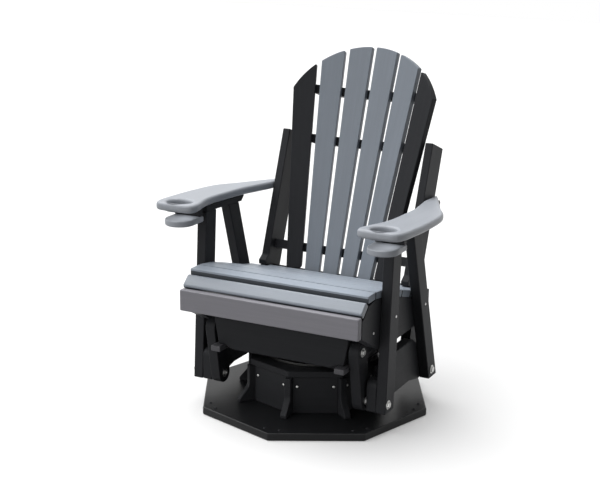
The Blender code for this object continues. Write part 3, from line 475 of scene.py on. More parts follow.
class Value:
    """A node's output socket with arithmetic on it."""

    def __init__(self, shader, socket):
        self.shader = shader
        self.socket = socket

    def _math(self, operation, *values):
        return self.shader.node("ShaderNodeMath", {"operation": operation},
                                dict(enumerate(values)))

    def __add__(self, other):
        return self._math("ADD", self, other)

    def __sub__(self, other):
        return self._math("SUBTRACT", self, other)

    def __rsub__(self, other):
        return self._math("SUBTRACT", other, self)

    def __mul__(self, other):
        return self._math("MULTIPLY", self, other)

    __radd__ = __add__
    __rmul__ = __mul__

    def power(self, exponent):
        return self._math("POWER", self, exponent)

    def above(self, low, high):
        """Rises smoothly from 0 to 1 between two values."""
        return self.shader.node("ShaderNodeMapRange", {"interpolation_type": "SMOOTHSTEP"},
                                {"Value": self, "From Min": low, "From Max": high})


class Shader:
    """A material's or the world's nodes, with one method that makes every kind of node."""

    def __init__(self, owner, node_name):
        owner.use_nodes = True
        self.tree = owner.node_tree
        self.main = self.tree.nodes[node_name]

    def put(self, name, value, node=None):
        socket = (node or self.main).inputs[name]
        if isinstance(value, Value):
            self.tree.links.new(value.socket, socket)
        elif isinstance(value, tuple) and len(value) == 3 and socket.type == "RGBA":
            socket.default_value = (*value, 1.0)
        else:
            socket.default_value = value

    def node(self, kind, options=None, sockets=None, output=0):
        made = self.tree.nodes.new(kind)
        for name, value in (options or {}).items():
            setattr(made, name, value)
        for name, value in (sockets or {}).items():
            self.put(name, value, made)
        return Value(self, made.outputs[output])

    def attribute(self, name, output):
        return self.node("ShaderNodeAttribute", {"attribute_name": name}, output=output)

    def noise(self, vector, scale, detail=4.0, roughness=0.55):
        """Noise of a scale, or of one scale for each axis."""
        if isinstance(scale, tuple):
            vector = self.node("ShaderNodeVectorMath", {"operation": "MULTIPLY"},
                               {0: vector, 1: scale})
            scale = 1.0
        return self.node("ShaderNodeTexNoise", {"noise_dimensions": "3D"},
                         {"Vector": vector, "Scale": scale, "Detail": detail,
                          "Roughness": roughness})

    def mixed(self, factor, first, second):
        """A blend of two colours."""
        return self.node("ShaderNodeMix", {"data_type": "RGBA", "clamp_factor": True},
                         {MIX_FACTOR: factor, MIX_FIRST: first, MIX_SECOND: second},
                         output=MIX_RESULT)

    def bumped(self, height, strength, distance, below=None):
        sockets = {"Height": height, "Strength": strength, "Distance": distance}
        if below:
            sockets["Normal"] = below
        return self.node("ShaderNodeBump", {}, sockets)

    def seen(self):
        """1 for what the camera sees, straight or in a shiny or clear surface, and 0 for light."""
        camera, glossy, clear = (
            self.node("ShaderNodeLightPath", output=output)
            for output in ("Is Camera Ray", "Is Glossy Ray", "Is Transmission Ray"))
        return (camera + glossy + clear).above(0.0, 1.0)


def principled(name, base, roughness, metallic=0.0, specular=0.5):
    """A new material and its shader, with the values that are the same all over."""
    material = bpy.data.materials.new(name)
    shader = Shader(material, "Principled BSDF")
    shader.put("Base Color", base)
    shader.put("Roughness", roughness)
    shader.put("Metallic", metallic)
    shader.put("Specular IOR Level", specular)
    return material, shader


def shaded(base, part, lift=0.0):
    """A part of a colour's lightness, and some more."""
    return tuple(part * c + lift for c in base)


def board_finish(name, base, roughness, wear, sheen):
    """Recycled plastic board: brushed streaks along its grain, cloudy colour, and paler edges that
    are edge wear and a painted highlight on the rounding.

    Where the attribute of wear, highlight and shade is below 0, the board carries painted shade
    instead: a tenth of its colour.
    """
    material, shader = principled(name, base, roughness, specular=sheen)
    grain = shader.attribute("grain", "Vector")
    worn = shader.attribute("worn", "Fac")
    streaks = shader.noise(grain, (7.0, 230.0, 230.0), detail=6.0, roughness=0.65)
    strands = shader.noise(grain, (3.0, 60.0, 60.0), detail=3.0)
    clouds = shader.noise(grain, (3.0, 9.0, 9.0))
    pits = shader.noise(grain, 900.0, detail=2.0)
    scuffs = shader.noise(grain, 34.0, detail=5.0, roughness=0.7)
    darker, lighter = shaded(base, 0.94), shaded(base, 1.07, 0.001)
    # Paler colour for edge wear and painted highlight, and a tenth of the colour for painted shade
    rubbed_and_highlit, shade_colour = shaded(base, 1.30, 0.014), shaded(base, 0.10)
    tone = (streaks.above(0.30, 0.72) * 0.45 + strands.above(0.3, 0.7) * 0.30
            + clouds.above(0.3, 0.7) * 0.25)
    # Edge wear in scuffed patches, which also paints the highlight on the eased edges
    edge = worn.power(1.6) * scuffs.above(0.38, 0.66) * wear
    # Painted shade where the attribute is below 0: the seat slats' faces down in their gaps
    shade_mask = (0.0 - worn).above(0.0, 1.0) * 0.92
    unshaded = shader.mixed(edge, shader.mixed(tone, darker, lighter), rubbed_and_highlit)
    shader.put("Base Color", shader.mixed(shade_mask, unshaded, shade_colour))
    shader.put("Roughness", streaks * 0.16 + clouds * 0.10 + (roughness - 0.13) - edge * 0.10)
    relief = None
    for height, strength, distance in (
        (streaks * 0.7 + strands * 0.3, 0.22, 0.0004), (pits, 0.15, 0.0002), (scuffs, 0.12, 0.0006),
    ):
        relief = shader.bumped(height, strength, distance, relief)
    shader.put("Normal", relief)
    return material


def steel_finish(name, base):
    """Zinc-plated steel: soft spangle, dull spots and fine scratches."""
    material, shader = principled(name, base, 0.34, metallic=1.0)
    place = shader.node("ShaderNodeTexCoord", output="Object")
    spangle = shader.noise(place, 420.0, detail=3.0)
    spots = shader.noise(place, 130.0, roughness=0.7)
    scratches = shader.noise(place, (60.0, 900.0, 400.0), detail=3.0)
    dull = spots.above(0.45, 0.75)
    shader.put("Base Color", shader.mixed(dull * 0.6, base, shaded(base, 0.55)))
    shader.put("Roughness", spangle * 0.12 + dull * 0.2 + 0.26)
    shader.put("Metallic", 1.0 - dull * 0.25)
    shader.put("Normal", shader.bumped(scratches + spangle * 0.5, 0.3, 0.0001))
    return material


# Kind of board, slot, material, colour and part of it, roughness, part of the edge wear and painted
# highlight, and sheen
BOARD_FINISHES = (
    ("black", "black_board", "black_board", "black", 1.0, 0.50, 1.0, 0.09),
    # The plate's third of the black is painted shade: it lies in the chair's shade
    ("plate", "black_board", "black_plate", "black", 0.34, 0.34, 1.0, 0.2),
    # The seat, roll and back slats are one grey: their parts of it paint light from above on the
    # seat, less on the roll, and shade on the back
    ("grey", "grey_slat", "back_slat", "grey", 0.93, 0.42, 1.0, 0.3),
    ("seat", "grey_slat", "seat_slat", "grey", 1.55, 0.44, 0.2, 0.3),
    ("roll", "grey_slat", "roll_slat", "grey", 1.05, 0.34, 0.5, 0.5),
    ("apron", "apron_grey", "apron_grey", "apron", 1.0, 0.50, 1.0, 0.3),
    ("bearer", "apron_grey", "bearer_grey", "apron", 0.34, 0.50, 1.0, 0.3),
    ("pale", "pale_arm", "pale_arm", "pale", 1.0, 0.42, 0.6, 0.35),
)
# Steel at a fifth of its colour: painted shade on the bearing races, and the arms' bolt heads' own
# dark grey
STEEL_FINISHES = (("steel", "steel", 1.0), ("ring", "blackened_steel", 0.2))
KINDS = {}


def make_finishes():
    look = settings("finish")
    for kind, slot, name, tint, part, roughness, wear, sheen in BOARD_FINISHES:
        base = shaded(getattr(look, tint), part)
        KINDS[kind] = slot, board_finish(name, base, roughness, wear * look.wear, sheen)
    for kind, name, part in STEEL_FINISHES:
        KINDS[kind] = "steel", steel_finish(name, shaded(look.steel, part))


# A pan head whose middle sinks into a driver recess: height and radius in screw sizes
SCREW_HEAD = np.array((
    (-0.25, 0.98), (0.0, 1.0), (0.22, 0.96), (0.38, 0.78), (0.45, 0.5), (0.45, 0.34),
    (0.10, 0.27), (0.06, 0.08),
))
SCREW_SIZE, SIDE_SCREW_SIZE, SCREW_SIDES = 0.0045, 0.0042, 20


def screws(name, places, outwards, body, size=SCREW_SIZE, kind="steel"):
    add_turned(name, SCREW_HEAD * size, SCREW_SIDES, places, outwards, body=body, kind=kind,
               sharp=50)


# Base


PLATE_CORNER, PLATE_EDGE, PLATE_GRAIN = 0.0112, 0.004, radians(20)
TOP_CORNER = 0.005
PANEL_CORNER, PANEL_EDGE = 0.0022, 0.002
FIN_CORNER, FIN_EDGE, FIN_TOE_ROUND, FIN_FLARE_ROUND = 0.0024, 0.0022, 0.004, 0.030
RIM_SCREW_INSET, RIM_SCREW_FROM_CORNER = 0.022, 0.034
BALLS, BALL_SIDES, BALL_RINGS = 16, 16, 11
RING_SIDES, RACE_WIDTH, RACE_EDGE = 72, 0.020, 0.0008
CAGE_HALF_WIDTH, CAGE_HALF_HEIGHT, CAGE_EDGE = 0.002, 0.0007, 0.0002


class GLIDER_OT_base(bpy.types.Operator):
    """Base plate, drum panels, fins and top board of the pedestal"""

    bl_idname = "glider.base"
    bl_label = "Pedestal base"

    def execute(self, context):
        size = settings("base")
        about = turned_about(size.turn)

        def laid(u, v, w):
            return about(u, w, v)

        # The plate takes the darker black: painted shade under the chair
        node_board("base_plate", laid, octagon(size.plate_across, PLATE_CORNER),
                   span=spans("base_plate")[2], body="base", kind="plate", edge=PLATE_EDGE,
                   grain=PLATE_GRAIN)
        floor, top = spans("pedestal_drum")[2]
        self.panels(size, floor, top)
        self.fins(size, floor, top)
        node_board("pedestal_top", laid, octagon(size.top_across, TOP_CORNER),
                   span=spans("pedestal_top")[2], body="base")
        self.fasteners(size, top)
        return {"FINISHED"}

    def panels(self, size, floor, top):
        """Eight walls of the drum, each as wide as the fins beside it leave it."""
        face = size.drum_across / 2
        wide = face * tan(TURN / 2) - (size.fin / 2 + GAP) / cos(TURN / 2)
        loop = rounded(box_corners(-wide, wide, floor, top), PANEL_CORNER)
        for i in OCTANTS:
            def outward(u, v, w, about=turned_about(size.turn + TURN * i)):
                return about(w, v, u)

            add_board(f"drum_panel_{i + 1}", [loop], outward, (face - size.panel, face),
                      ["pedestal_drum"] if i == 0 else [], "base", edge=PANEL_EDGE)

    def fins(self, size, floor, top):
        """Eight boards on the drum's corners, each flaring to a toe at its foot."""
        loop = rounded([
            (size.fin_inner, floor), (size.fin_foot, floor),
            (size.fin_foot, floor + size.fin_toe, FIN_TOE_ROUND),
            (size.fin_reach, floor + size.fin_shoulder, FIN_FLARE_ROUND),
            (size.fin_reach, top), (size.fin_inner, top),
        ], FIN_CORNER)
        for i in OCTANTS:
            add_board(f"pedestal_fin_{i + 1}", [loop], turned_about(size.turn + TURN * (i + 0.5)),
                      (-size.fin / 2, size.fin / 2), body="base", edge=FIN_EDGE,
                      grain=GRAIN_UPWARD)

    def fasteners(self, size, top):
        """Two screws high in each panel, and two near the ends of each of the plate's sides."""
        turns = size.turn + TURN * np.arange(len(OCTANTS))
        out = polar(1, turns, 0 * turns)
        side = out[:, [1, 0, 2]] * (-1, 1, 1)
        rim = size.plate_across / 2
        rim_spread = rim * tan(TURN / 2) - RIM_SCREW_FROM_CORNER
        for name, reach, spread, height, way, kind in (
            ("drum_screws", size.drum_across / 2, size.screw_spread, top - size.screw_drop,
             np.concatenate([out, out]), "steel"),
            ("plate_screws", rim - RIM_SCREW_INSET, rim_spread, spans("base_plate")[2][1],
             UP, "black"),
        ):
            middle = out * reach + (0, 0, height)
            places = np.concatenate([middle + side * spread, middle - side * spread])
            screws(name, places, way, "base", kind=kind)


class GLIDER_OT_bearing(bpy.types.Operator):
    """Swivel bearing: two rings with a row of caged balls between them"""

    bl_idname = "glider.bearing"
    bl_label = "Swivel bearing"

    def execute(self, context):
        for node, body in (("bearing_outer_ring", "base"), ("bearing_inner_ring", "swivel_frame")):
            (_, outer), _, span = spans(node)
            # The races take the dark ring steel: painted shade in the gap under the pedestal's top
            self.ring(f"{node}_race", outer, outer - RACE_WIDTH, span, [node], body, "ring",
                      RACE_EDGE)
        (_, outer), _, (low, high) = spans("ball_cage")
        radius, height = (high - low) / 2, (low + high) / 2
        reach = outer - radius
        self.balls(reach, height, radius)
        self.ring("ball_cage_ring", reach + CAGE_HALF_WIDTH, reach - CAGE_HALF_WIDTH,
                  (height - CAGE_HALF_HEIGHT, height + CAGE_HALF_HEIGHT), [], "base", "steel",
                  CAGE_EDGE)
        return {"FINISHED"}

    def ring(self, name, outer, inner, span, nodes, body, kind, edge):
        loops = [circle(0, 0, reach, RING_SIDES) for reach in (outer, inner)]
        add_board(name, loops, upward, span, nodes, body, kind, edge)

    def balls(self, reach, height, radius):
        """Balls: radius times the cosine of latitude round each axis, and times its sine up."""
        latitude = np.linspace(-pi / 2, pi / 2, BALL_RINGS)[1:-1]
        profile = polar(radius, latitude)[:, ::-1]
        turn = tau * np.arange(BALLS) / BALLS + settings("base").turn
        add_turned("bearing_balls", profile, BALL_SIDES, polar(reach, turn, 0 * turn + height),
                   UP, ["ball_cage"], "base")


# Swivel frame and links


SWIVEL_BOARD_CORNER = 0.004
RAIL_STEP, RAIL_DRAW, RAIL_SHOULDER, RAIL_NOTCH = 0.003, 0.013, 0.014, 0.060
LINK_EDGE, UPPER_PLAY, LOWER_PLAY, HOLE_SIDES = 0.0022, 0.0007, 0.003, 24
UPPER_NUT_WASHER, WASHER_EASE, TIP_SHARE, TIP_HEIGHT = 0.0080, 0.0003, 0.8, 0.0008
THREAD_SHOWN, HEXAGON_CORNER, HEXAGON_EDGE, HEXAGON_TURN = 0.0012, 0.0008, 0.0006, 0.3
LINK_END_STEPS, BOLT_SIDES = 25, 32


class GLIDER_OT_swivel_frame(bpy.types.Operator):
    """Swivel board, bearers, side boards and cross rails that hold the links"""

    bl_idname = "glider.swivel_frame"
    bl_label = "Swivel frame"

    def execute(self, context):
        body = "swivel_frame"
        box_board("swivel_board", upward, SWIVEL_BOARD_CORNER, name="swivel_board_panel", body=body)
        for hand, _ in HANDS:
            box_board(f"bearer_{hand}", across, plain_corner(), body=body, kind="bearer")
            box_board(f"swivel_side_{hand}", across, plain_corner(), body=body)
        for end, _ in ENDS:
            self.rail(f"swivel_rail_{end}")
        return {"FINISHED"}

    def rail(self, node):
        """Mirrored outline: hung between the bearers, stepped on to them, and drawn in at the
        ends below the shoulders."""
        (_, wide), _, (bottom, top) = spans(node)
        (bearer, _), _, (_, seat) = spans("bearer_right")
        seat += GAP
        right = [(wide - RAIL_NOTCH, bottom), (bearer - RAIL_STEP, seat), (wide - RAIL_DRAW, seat),
                 (wide, top - RAIL_SHOULDER), (wide, top)]
        left = [(-u, v) for u, v in reversed(right)]
        node_board(node, facing, rounded(right + left, plain_corner()), body="swivel_frame")


def pivot_places():
    """Height of the upper pivots, and the distance of the lower ones from the swivel axis."""
    size = settings("swing")
    return size.lower_z + sqrt(size.link_length**2 - size.run**2), size.upper_y - size.run


class GLIDER_OT_links(bpy.types.Operator):
    """Four swing links with round ends"""

    bl_idname = "glider.links"
    bl_label = "Swing links"

    def execute(self, context):
        size = settings("swing")
        upper_z, lower_y = pivot_places()
        for end, sign in ENDS:
            top, foot = (sign * size.upper_y, upper_z), (sign * lower_y, size.lower_z)
            lean = atan2(top[1] - foot[1], top[0] - foot[0])
            loops = [self.stadium(top, foot, lean, size.link_width / 2),
                     circle(*top, size.shank + UPPER_PLAY, HOLE_SIDES),
                     circle(*foot, size.shank + LOWER_PLAY, HOLE_SIDES)]
            for hand, _ in HANDS:
                node = f"link_{end}_{hand}"
                node_board(node, across, *loops, body=node, edge=LINK_EDGE, grain=lean)
        return {"FINISHED"}

    def stadium(self, top, foot, lean, radius):
        """Two half circles joined by straight sides: the head's, then the foot's."""
        t = np.linspace(0, pi, LINK_END_STEPS)
        return cornerless(np.concatenate([
            polar(radius, start + t) + middle
            for middle, start in ((top, lean - pi / 2), (foot, lean + pi / 2))
        ]))


class GLIDER_OT_pivot_bolts(bpy.types.Operator):
    """Eight pivot bolts with hexagonal heads, washers and nuts"""

    bl_idname = "glider.pivot_bolts"
    bl_label = "Pivot bolts"

    def execute(self, context):
        size = settings("swing")
        upper_z, lower_y = pivot_places()
        link = spans("link_front_right")[0]
        upper = (*spans("swivel_side_right")[0], *link, UPPER_NUT_WASHER)
        lower = (*link, spans("lower_rail_right")[0][0], spans("front_post_right")[0][1],
                 size.washer)
        for end, sign in ENDS:
            for hand, side in HANDS:
                for stem, y, z, parts, body in (
                    ("upper_bolt", size.upper_y, upper_z, upper, "swivel_frame"),
                    ("lower_bolt", lower_y, size.lower_z, lower, "chair"),
                ):
                    self.bolt(f"{stem}_{end}_{hand}", side, sign * y, z, parts, body, size)
        return {"FINISHED"}

    def bolt(self, node, side, y, z, parts, body, size):
        """Turned parts along X from the nut's tip to the head's washer, and the hexagons.

        The parts are the faces that the nut's washer, the spacer between the boards and the
        head's washer lie on, and the radius of the nut's washer.
        """
        nut_face, spacer_low, spacer_high, head_face, nut_washer = parts
        shank, wide, ease = size.shank, size.washer, WASHER_EASE
        washer = nut_face - GAP - size.washer_thick
        tip = washer - size.nut_height
        out = head_face + GAP
        head = out + size.washer_thick
        profile = [
            (tip, shank * TIP_SHARE), (tip + TIP_HEIGHT, shank), (washer, shank),
            (washer, nut_washer - ease), (washer + ease, nut_washer),
            (nut_face - GAP, nut_washer), (nut_face - GAP, shank),
            (spacer_low + GAP, shank), (spacer_low + GAP, wide),
            (spacer_high - GAP, wide), (spacer_high - GAP, shank),
            (out, shank), (out, wide), (head - ease, wide), (head, wide - ease), (head, shank),
            (head + TIP_HEIGHT, shank),
        ]
        add_turned(f"{node}_shank", profile, BOLT_SIDES, [(0, y, z)], (side, 0, 0), [node], body,
                   sharp=40)
        for part, radius, low, high in (
            ("head", size.head, head, head + size.head_height),
            ("nut", size.nut, tip + THREAD_SHOWN, washer),
        ):
            hexagon = circle(y, z, radius, 6, HEXAGON_TURN * side)[0]
            add_board(f"{node}_{part}", [rounded(hexagon, HEXAGON_CORNER, steps=3)], across,
                      sorted((side * low, side * high)), body=body, kind="steel",
                      edge=HEXAGON_EDGE)


# Side frames


# A leaning member's name, its foot's front corner, and how far it leans for each metre up
LEANING = (("front_post", -0.1855, 0.061), ("rear_leg", 0.150, -0.322))
MEMBER_DEPTH = 0.060
ARM_RAIL_EDGE, ARM_RAIL_TIP = 0.0013, 0.0015


def arm_underside(y):
    """Height of the arms' sloping underside, less the seating gap."""
    arm = settings("arm")
    return arm.top - arm.stock - (y - arm.cup_y) * tan(arm.fall) - GAP


def rail_underside(y):
    """Height of the underside of the bar below an arm."""
    return arm_underside(y) - settings("arm").rail_depth


def leaning(front, lean, floor):
    """Corners of a leaning member from the frame's floor to the arm rail's underside."""
    corners = []
    for foot in (front, front + MEMBER_DEPTH):
        head = foot
        for _ in range(SETTLING_ROUNDS):
            head = foot + lean * (rail_underside(head) - GAP - floor)
        corners.append(((foot, floor), (head, rail_underside(head) - GAP)))
    (foot_a, head_a), (foot_b, head_b) = corners
    return [foot_a, foot_b, head_b, head_a]


class GLIDER_OT_side_frames(bpy.types.Operator):
    """Front posts, rear legs, lower rails, arm rails and back uprights"""

    bl_idname = "glider.side_frames"
    bl_label = "Side frames"

    def execute(self, context):
        ease = plain_corner()
        floor = spans("front_post_left")[2][0]
        for hand, _ in HANDS:
            for stem, front, lean in LEANING:
                node_board(f"{stem}_{hand}", across, rounded(leaning(front, lean, floor), ease),
                           grain=GRAIN_UPWARD - atan(lean))
            self.lower_rail(f"lower_rail_{hand}", ease)
            self.arm_rail(f"arm_rail_{hand}", ease)
            self.upright(f"back_upright_{hand}", ease)
        return {"FINISHED"}

    def lower_rail(self, node, ease):
        """Board low at both ends and humped between, with a shallow arch below."""
        _, (front, rear), (floor, top) = spans(node)
        end, rise, arch, end_top = 0.050, 0.070, 0.016, 0.172
        turn = rise / 2
        corners = [
            (front, floor), (front + rise, floor), (front + 2 * rise, floor + arch, turn),
            (rear - 2 * rise, floor + arch, turn), (rear - rise, floor), (rear, floor),
            (rear, end_top, end / 2), (rear - end, end_top, end / 2),
            (rear - end - rise, top, turn), (front + end + rise, top, turn),
            (front + end, end_top, end / 2), (front, end_top, end / 2),
        ]
        node_board(node, across, rounded(corners, ease, steps=10))

    def arm_rail(self, node, ease):
        """Bar on the post and the leg, its rear end cut back below at 45 degrees."""
        front, rear = spans(node)[1]
        under = rear - settings("arm").rail_depth
        corners = [(front, rail_underside(front)), (under, rail_underside(under)),
                   (rear, arm_underside(rear), ARM_RAIL_TIP), (front, arm_underside(front))]
        node_board(node, across, rounded(corners, ease), edge=ARM_RAIL_EDGE)

    def upright(self, node, ease):
        """A leaning board with a toe over the rearmost seat slat."""
        lean, depth, rise = radians(20), 0.092, 0.494
        knee, toe_top, toe_bottom, toe, notch = 0.402, 0.388, 0.373, 0.112, 0.124
        knee_round, toe_round, notch_round = 0.010, 0.004, 0.0024
        foot = np.array([0.1062, 0.327])
        head = foot + np.array([sin(lean), cos(lean)]) * rise
        behind = np.array([cos(lean), -sin(lean)]) * depth
        corners = [
            (notch, foot[1]), (foot[0] + depth / cos(lean), foot[1]), head + behind, head,
            (foot[0] + tan(lean) * (knee - foot[1]), knee, knee_round),
            (toe, toe_top, toe_round), (toe, toe_bottom), (notch, toe_bottom, notch_round),
        ]
        node_board(node, across, rounded(corners, ease), grain=GRAIN_UPWARD - lean)


# Seat


WIDE_SLATS = 5
# Radii of a seat slat's top corners, lower corners and edges, and the depth below its top past
# which its faces carry painted shade
SLAT_EASES = {1: (0.0085, 0.006, 0.0034, 0.0060), 2: (0.0022, 0.004, 0.0020, 0.0066)}
OTHER_SLAT_EASES = (0.0016, 0.004, 0.0015, 0.0022)
SHADE_FADE = 0.0006  # how far above and below its line the painted shade fades in
ARC_CLEARANCE, FAINT_CORNER = 0.0004, 0.0002
BACK_CLEARANCE = 0.003
APRON_CORNER, APRON_EDGE = 0.0042, 0.0034
SEAT_RAIL_EDGE = 0.0006


def seat_height(y):
    """Half a cosine from the seat's crest down to its low line at the back."""
    seat = settings("seat")
    middle, swell = (seat.crest_z + seat.low_z) / 2, (seat.crest_z - seat.low_z) / 2
    return middle + swell * cos(pi * (y - seat.crest_y) / (seat.low_y - seat.crest_y))


def slat_tilt(y, width):
    """How a slat tilts when both of its top edges lie on the seat's line."""
    tilt = 0.0
    for _ in range(SETTLING_ROUNDS):
        run = width * cos(tilt)
        tilt = atan2(seat_height(y + run) - seat_height(y), run)
    return tilt


def seat_rests():
    """Front top corner, tilt and width of each full seat slat."""
    seat = settings("seat")
    rests = [((seat.roll_y - seat.roll * cos(seat.roll_tilt),
               seat.roll_z - seat.roll * sin(seat.roll_tilt)), seat.roll_tilt, seat.roll)]
    y = seat.first_y
    for width in (seat.first, *[seat.slat] * WIDE_SLATS):
        tilt = slat_tilt(y, width)
        rests.append(((y, seat_height(y)), tilt, width))
        y += (width + seat.slat_gap) * cos(tilt)
    return rests


def last_rest():
    """The short slat: from a gap behind the last full one to just ahead of the back."""
    seat, back = settings("seat"), settings("back")
    (y, _), tilt, width = seat_rests()[-1]
    y += (width + seat.slat_gap) * cos(tilt)
    _, forward = slat_place(RANKS[-2], back.foot_width / 2, 0.0, 0.0)
    rear = back_point(0.0, -seat.stock, forward)[1] - BACK_CLEARANCE
    tilt = slat_tilt(y, rear - y)
    return (y, seat_height(y)), tilt, (rear - y) / cos(tilt)


def slat_section(rest, sink):
    """Front and rear corners of a slat's section at a depth below its top."""
    (y, z), tilt, width = rest
    front = (y + sink * sin(tilt), z - sink * cos(tilt))
    return front, (front[0] + width * cos(tilt), front[1] + width * sin(tilt))


def mark_painted_shade(loop, rest, unshaded):
    """Marks with -1, for painted shade, the outline's points that lie deeper below the slat's top
    than its unshaded band.
    """
    (y, z), tilt, _ = rest
    points, inside = loop
    depth = (points[:, 0] - y) * sin(tilt) - (points[:, 1] - z) * cos(tilt)
    return points, np.where(depth > unshaded, -1.0, inside)


class GLIDER_OT_seat(bpy.types.Operator):
    """Rolled front slat, seat slats, apron and contoured seat rails"""

    bl_idname = "glider.seat"
    bl_label = "Seat"

    def execute(self, context):
        for number, rest in enumerate([*seat_rests(), last_rest()], start=1):
            # The roll and seat slats take lit copies of the grey: painted light from above
            self.slat(f"seat_slat_{number}", rest, "roll" if number == 1 else "seat",
                      *SLAT_EASES.get(number, OTHER_SLAT_EASES))
        box_board("apron", facing, APRON_CORNER, kind="apron", edge=APRON_EDGE)
        for hand, _ in HANDS:
            self.rail(f"seat_rail_{hand}", spans("apron")[2][0])
        return {"FINISHED"}

    def slat(self, node, rest, kind, radius, lower, edge, unshaded):
        """Board round its section, with more outline points where the painted shade begins."""
        (u0, v0), (u1, v1) = slat_section(rest, settings("seat").stock)
        front, rear = slat_section(rest, 0.0)
        sides = [slat_section(rest, depth) for depth in (unshaded - SHADE_FADE, unshaded + SHADE_FADE)
                 if depth > radius + ARC_CLEARANCE]
        corners = [(u0, v0, lower), (u1, v1, lower),
                   *[(*behind, FAINT_CORNER) for _, behind in reversed(sides)],
                   (*rear, radius), (*front, radius),
                   *[(*ahead, FAINT_CORNER) for ahead, _ in sides]]
        node_board(node, across, mark_painted_shade(rounded(corners), rest, unshaded), kind=kind, edge=edge,
                   grain=GRAIN_ALONG_CARRY)

    def rail(self, node, apron_bottom):
        """Rail under the slats: its top steps along their undersides, its front is cut away."""
        _, (front, rear), (bottom, _) = spans(node)
        end_round, bed_round, nose = 0.004, 0.0008, 0.003
        upper_bend, lower_bend = (-0.188, 0.2735, 0.050), (-0.150, bottom, 0.040)
        stock = settings("seat").stock + GAP
        line = [corner for rest in seat_rests() for corner in slat_section(rest, stock)]
        bed = [line[0]]
        for corner in line[1:]:
            if corner[0] > bed[-1][0] + GAP:
                bed.append(corner)
        bed.append((rear, bed[-1][1]))
        corners = [
            (front, apron_bottom, end_round), upper_bend, lower_bend, (rear, bottom, end_round),
            *[(*corner, bed_round) for corner in reversed(bed)], (front, bed[0][1] - nose, nose),
        ]
        node_board(node, across, rounded(corners, steps=5), edge=SEAT_RAIL_EDGE)


# Back


RANKS = (-2.5, -1.5, -0.5, 0.5, 1.5, 2.5)  # the slats' places in pitches from the middle
HEAD_ROUNDS, HEAD_STEPS = 24, 9
SLAT_CORNER, BACK_SLAT_EDGE, HEAD_CURVE = 0.004, 0.0026, 0.02
OUTER_TIP, INNER_TIP = 0.0028, 0.0045
FOOT_RAIL_WIDTH, FOOT_RAIL_RISE, BATTEN_WIDTH = 0.036, 0.018, 0.028
LOWER_BATTEN, MIDDLE_BATTEN, UPPER_BATTEN = 0.066, 0.420, 0.581  # heights up the back's slope
BATTEN_CORNER, BATTEN_EDGE, BATTEN_REAR, BATTEN_GAP = 0.0014, 0.0010, 0.004, 0.0006


def back_point(x, along, forward):
    """A place in the back's leaning frame: sideways, up its slope, and forward of it."""
    back = settings("back")
    y = back.foot_y + along * sin(back.lean) - forward * cos(back.lean)
    return x, y, back.foot_z + along * cos(back.lean) + forward * sin(back.lean)


def between(foot, head, along):
    return foot + (head - foot) * along / settings("back").head


def slat_width(along):
    back = settings("back")
    return between(back.foot_width, back.head_width, along)


def slat_turn(rank):
    """How far a slat is turned to the sitter: the mean of its arcs at the foot and the head."""
    back = settings("back")
    return rank * (back.foot_pitch / back.foot_hollow + back.head_pitch / back.head_hollow) / 2


def slat_place(rank, step, along, depth):
    """Sideways and forward place of a slat's point.

    The slat's centre lies rank pitches round the hollow, whose depth is radius (1 - cos arc) at
    foot and head and changes evenly between; step and depth are turned by the slat's own angle.
    """
    back = settings("back")
    foot = back.foot_hollow * (1 - cos(rank * back.foot_pitch / back.foot_hollow))
    head = back.head_hollow * (1 - cos(rank * back.head_pitch / back.head_hollow))
    turn = slat_turn(rank)
    x = rank * between(back.foot_pitch, back.head_pitch, along) * cos(turn / 2)
    x = x + step * cos(turn) + depth * sin(turn)
    return x, between(foot, head, along) + step * sin(turn) - depth * cos(turn)


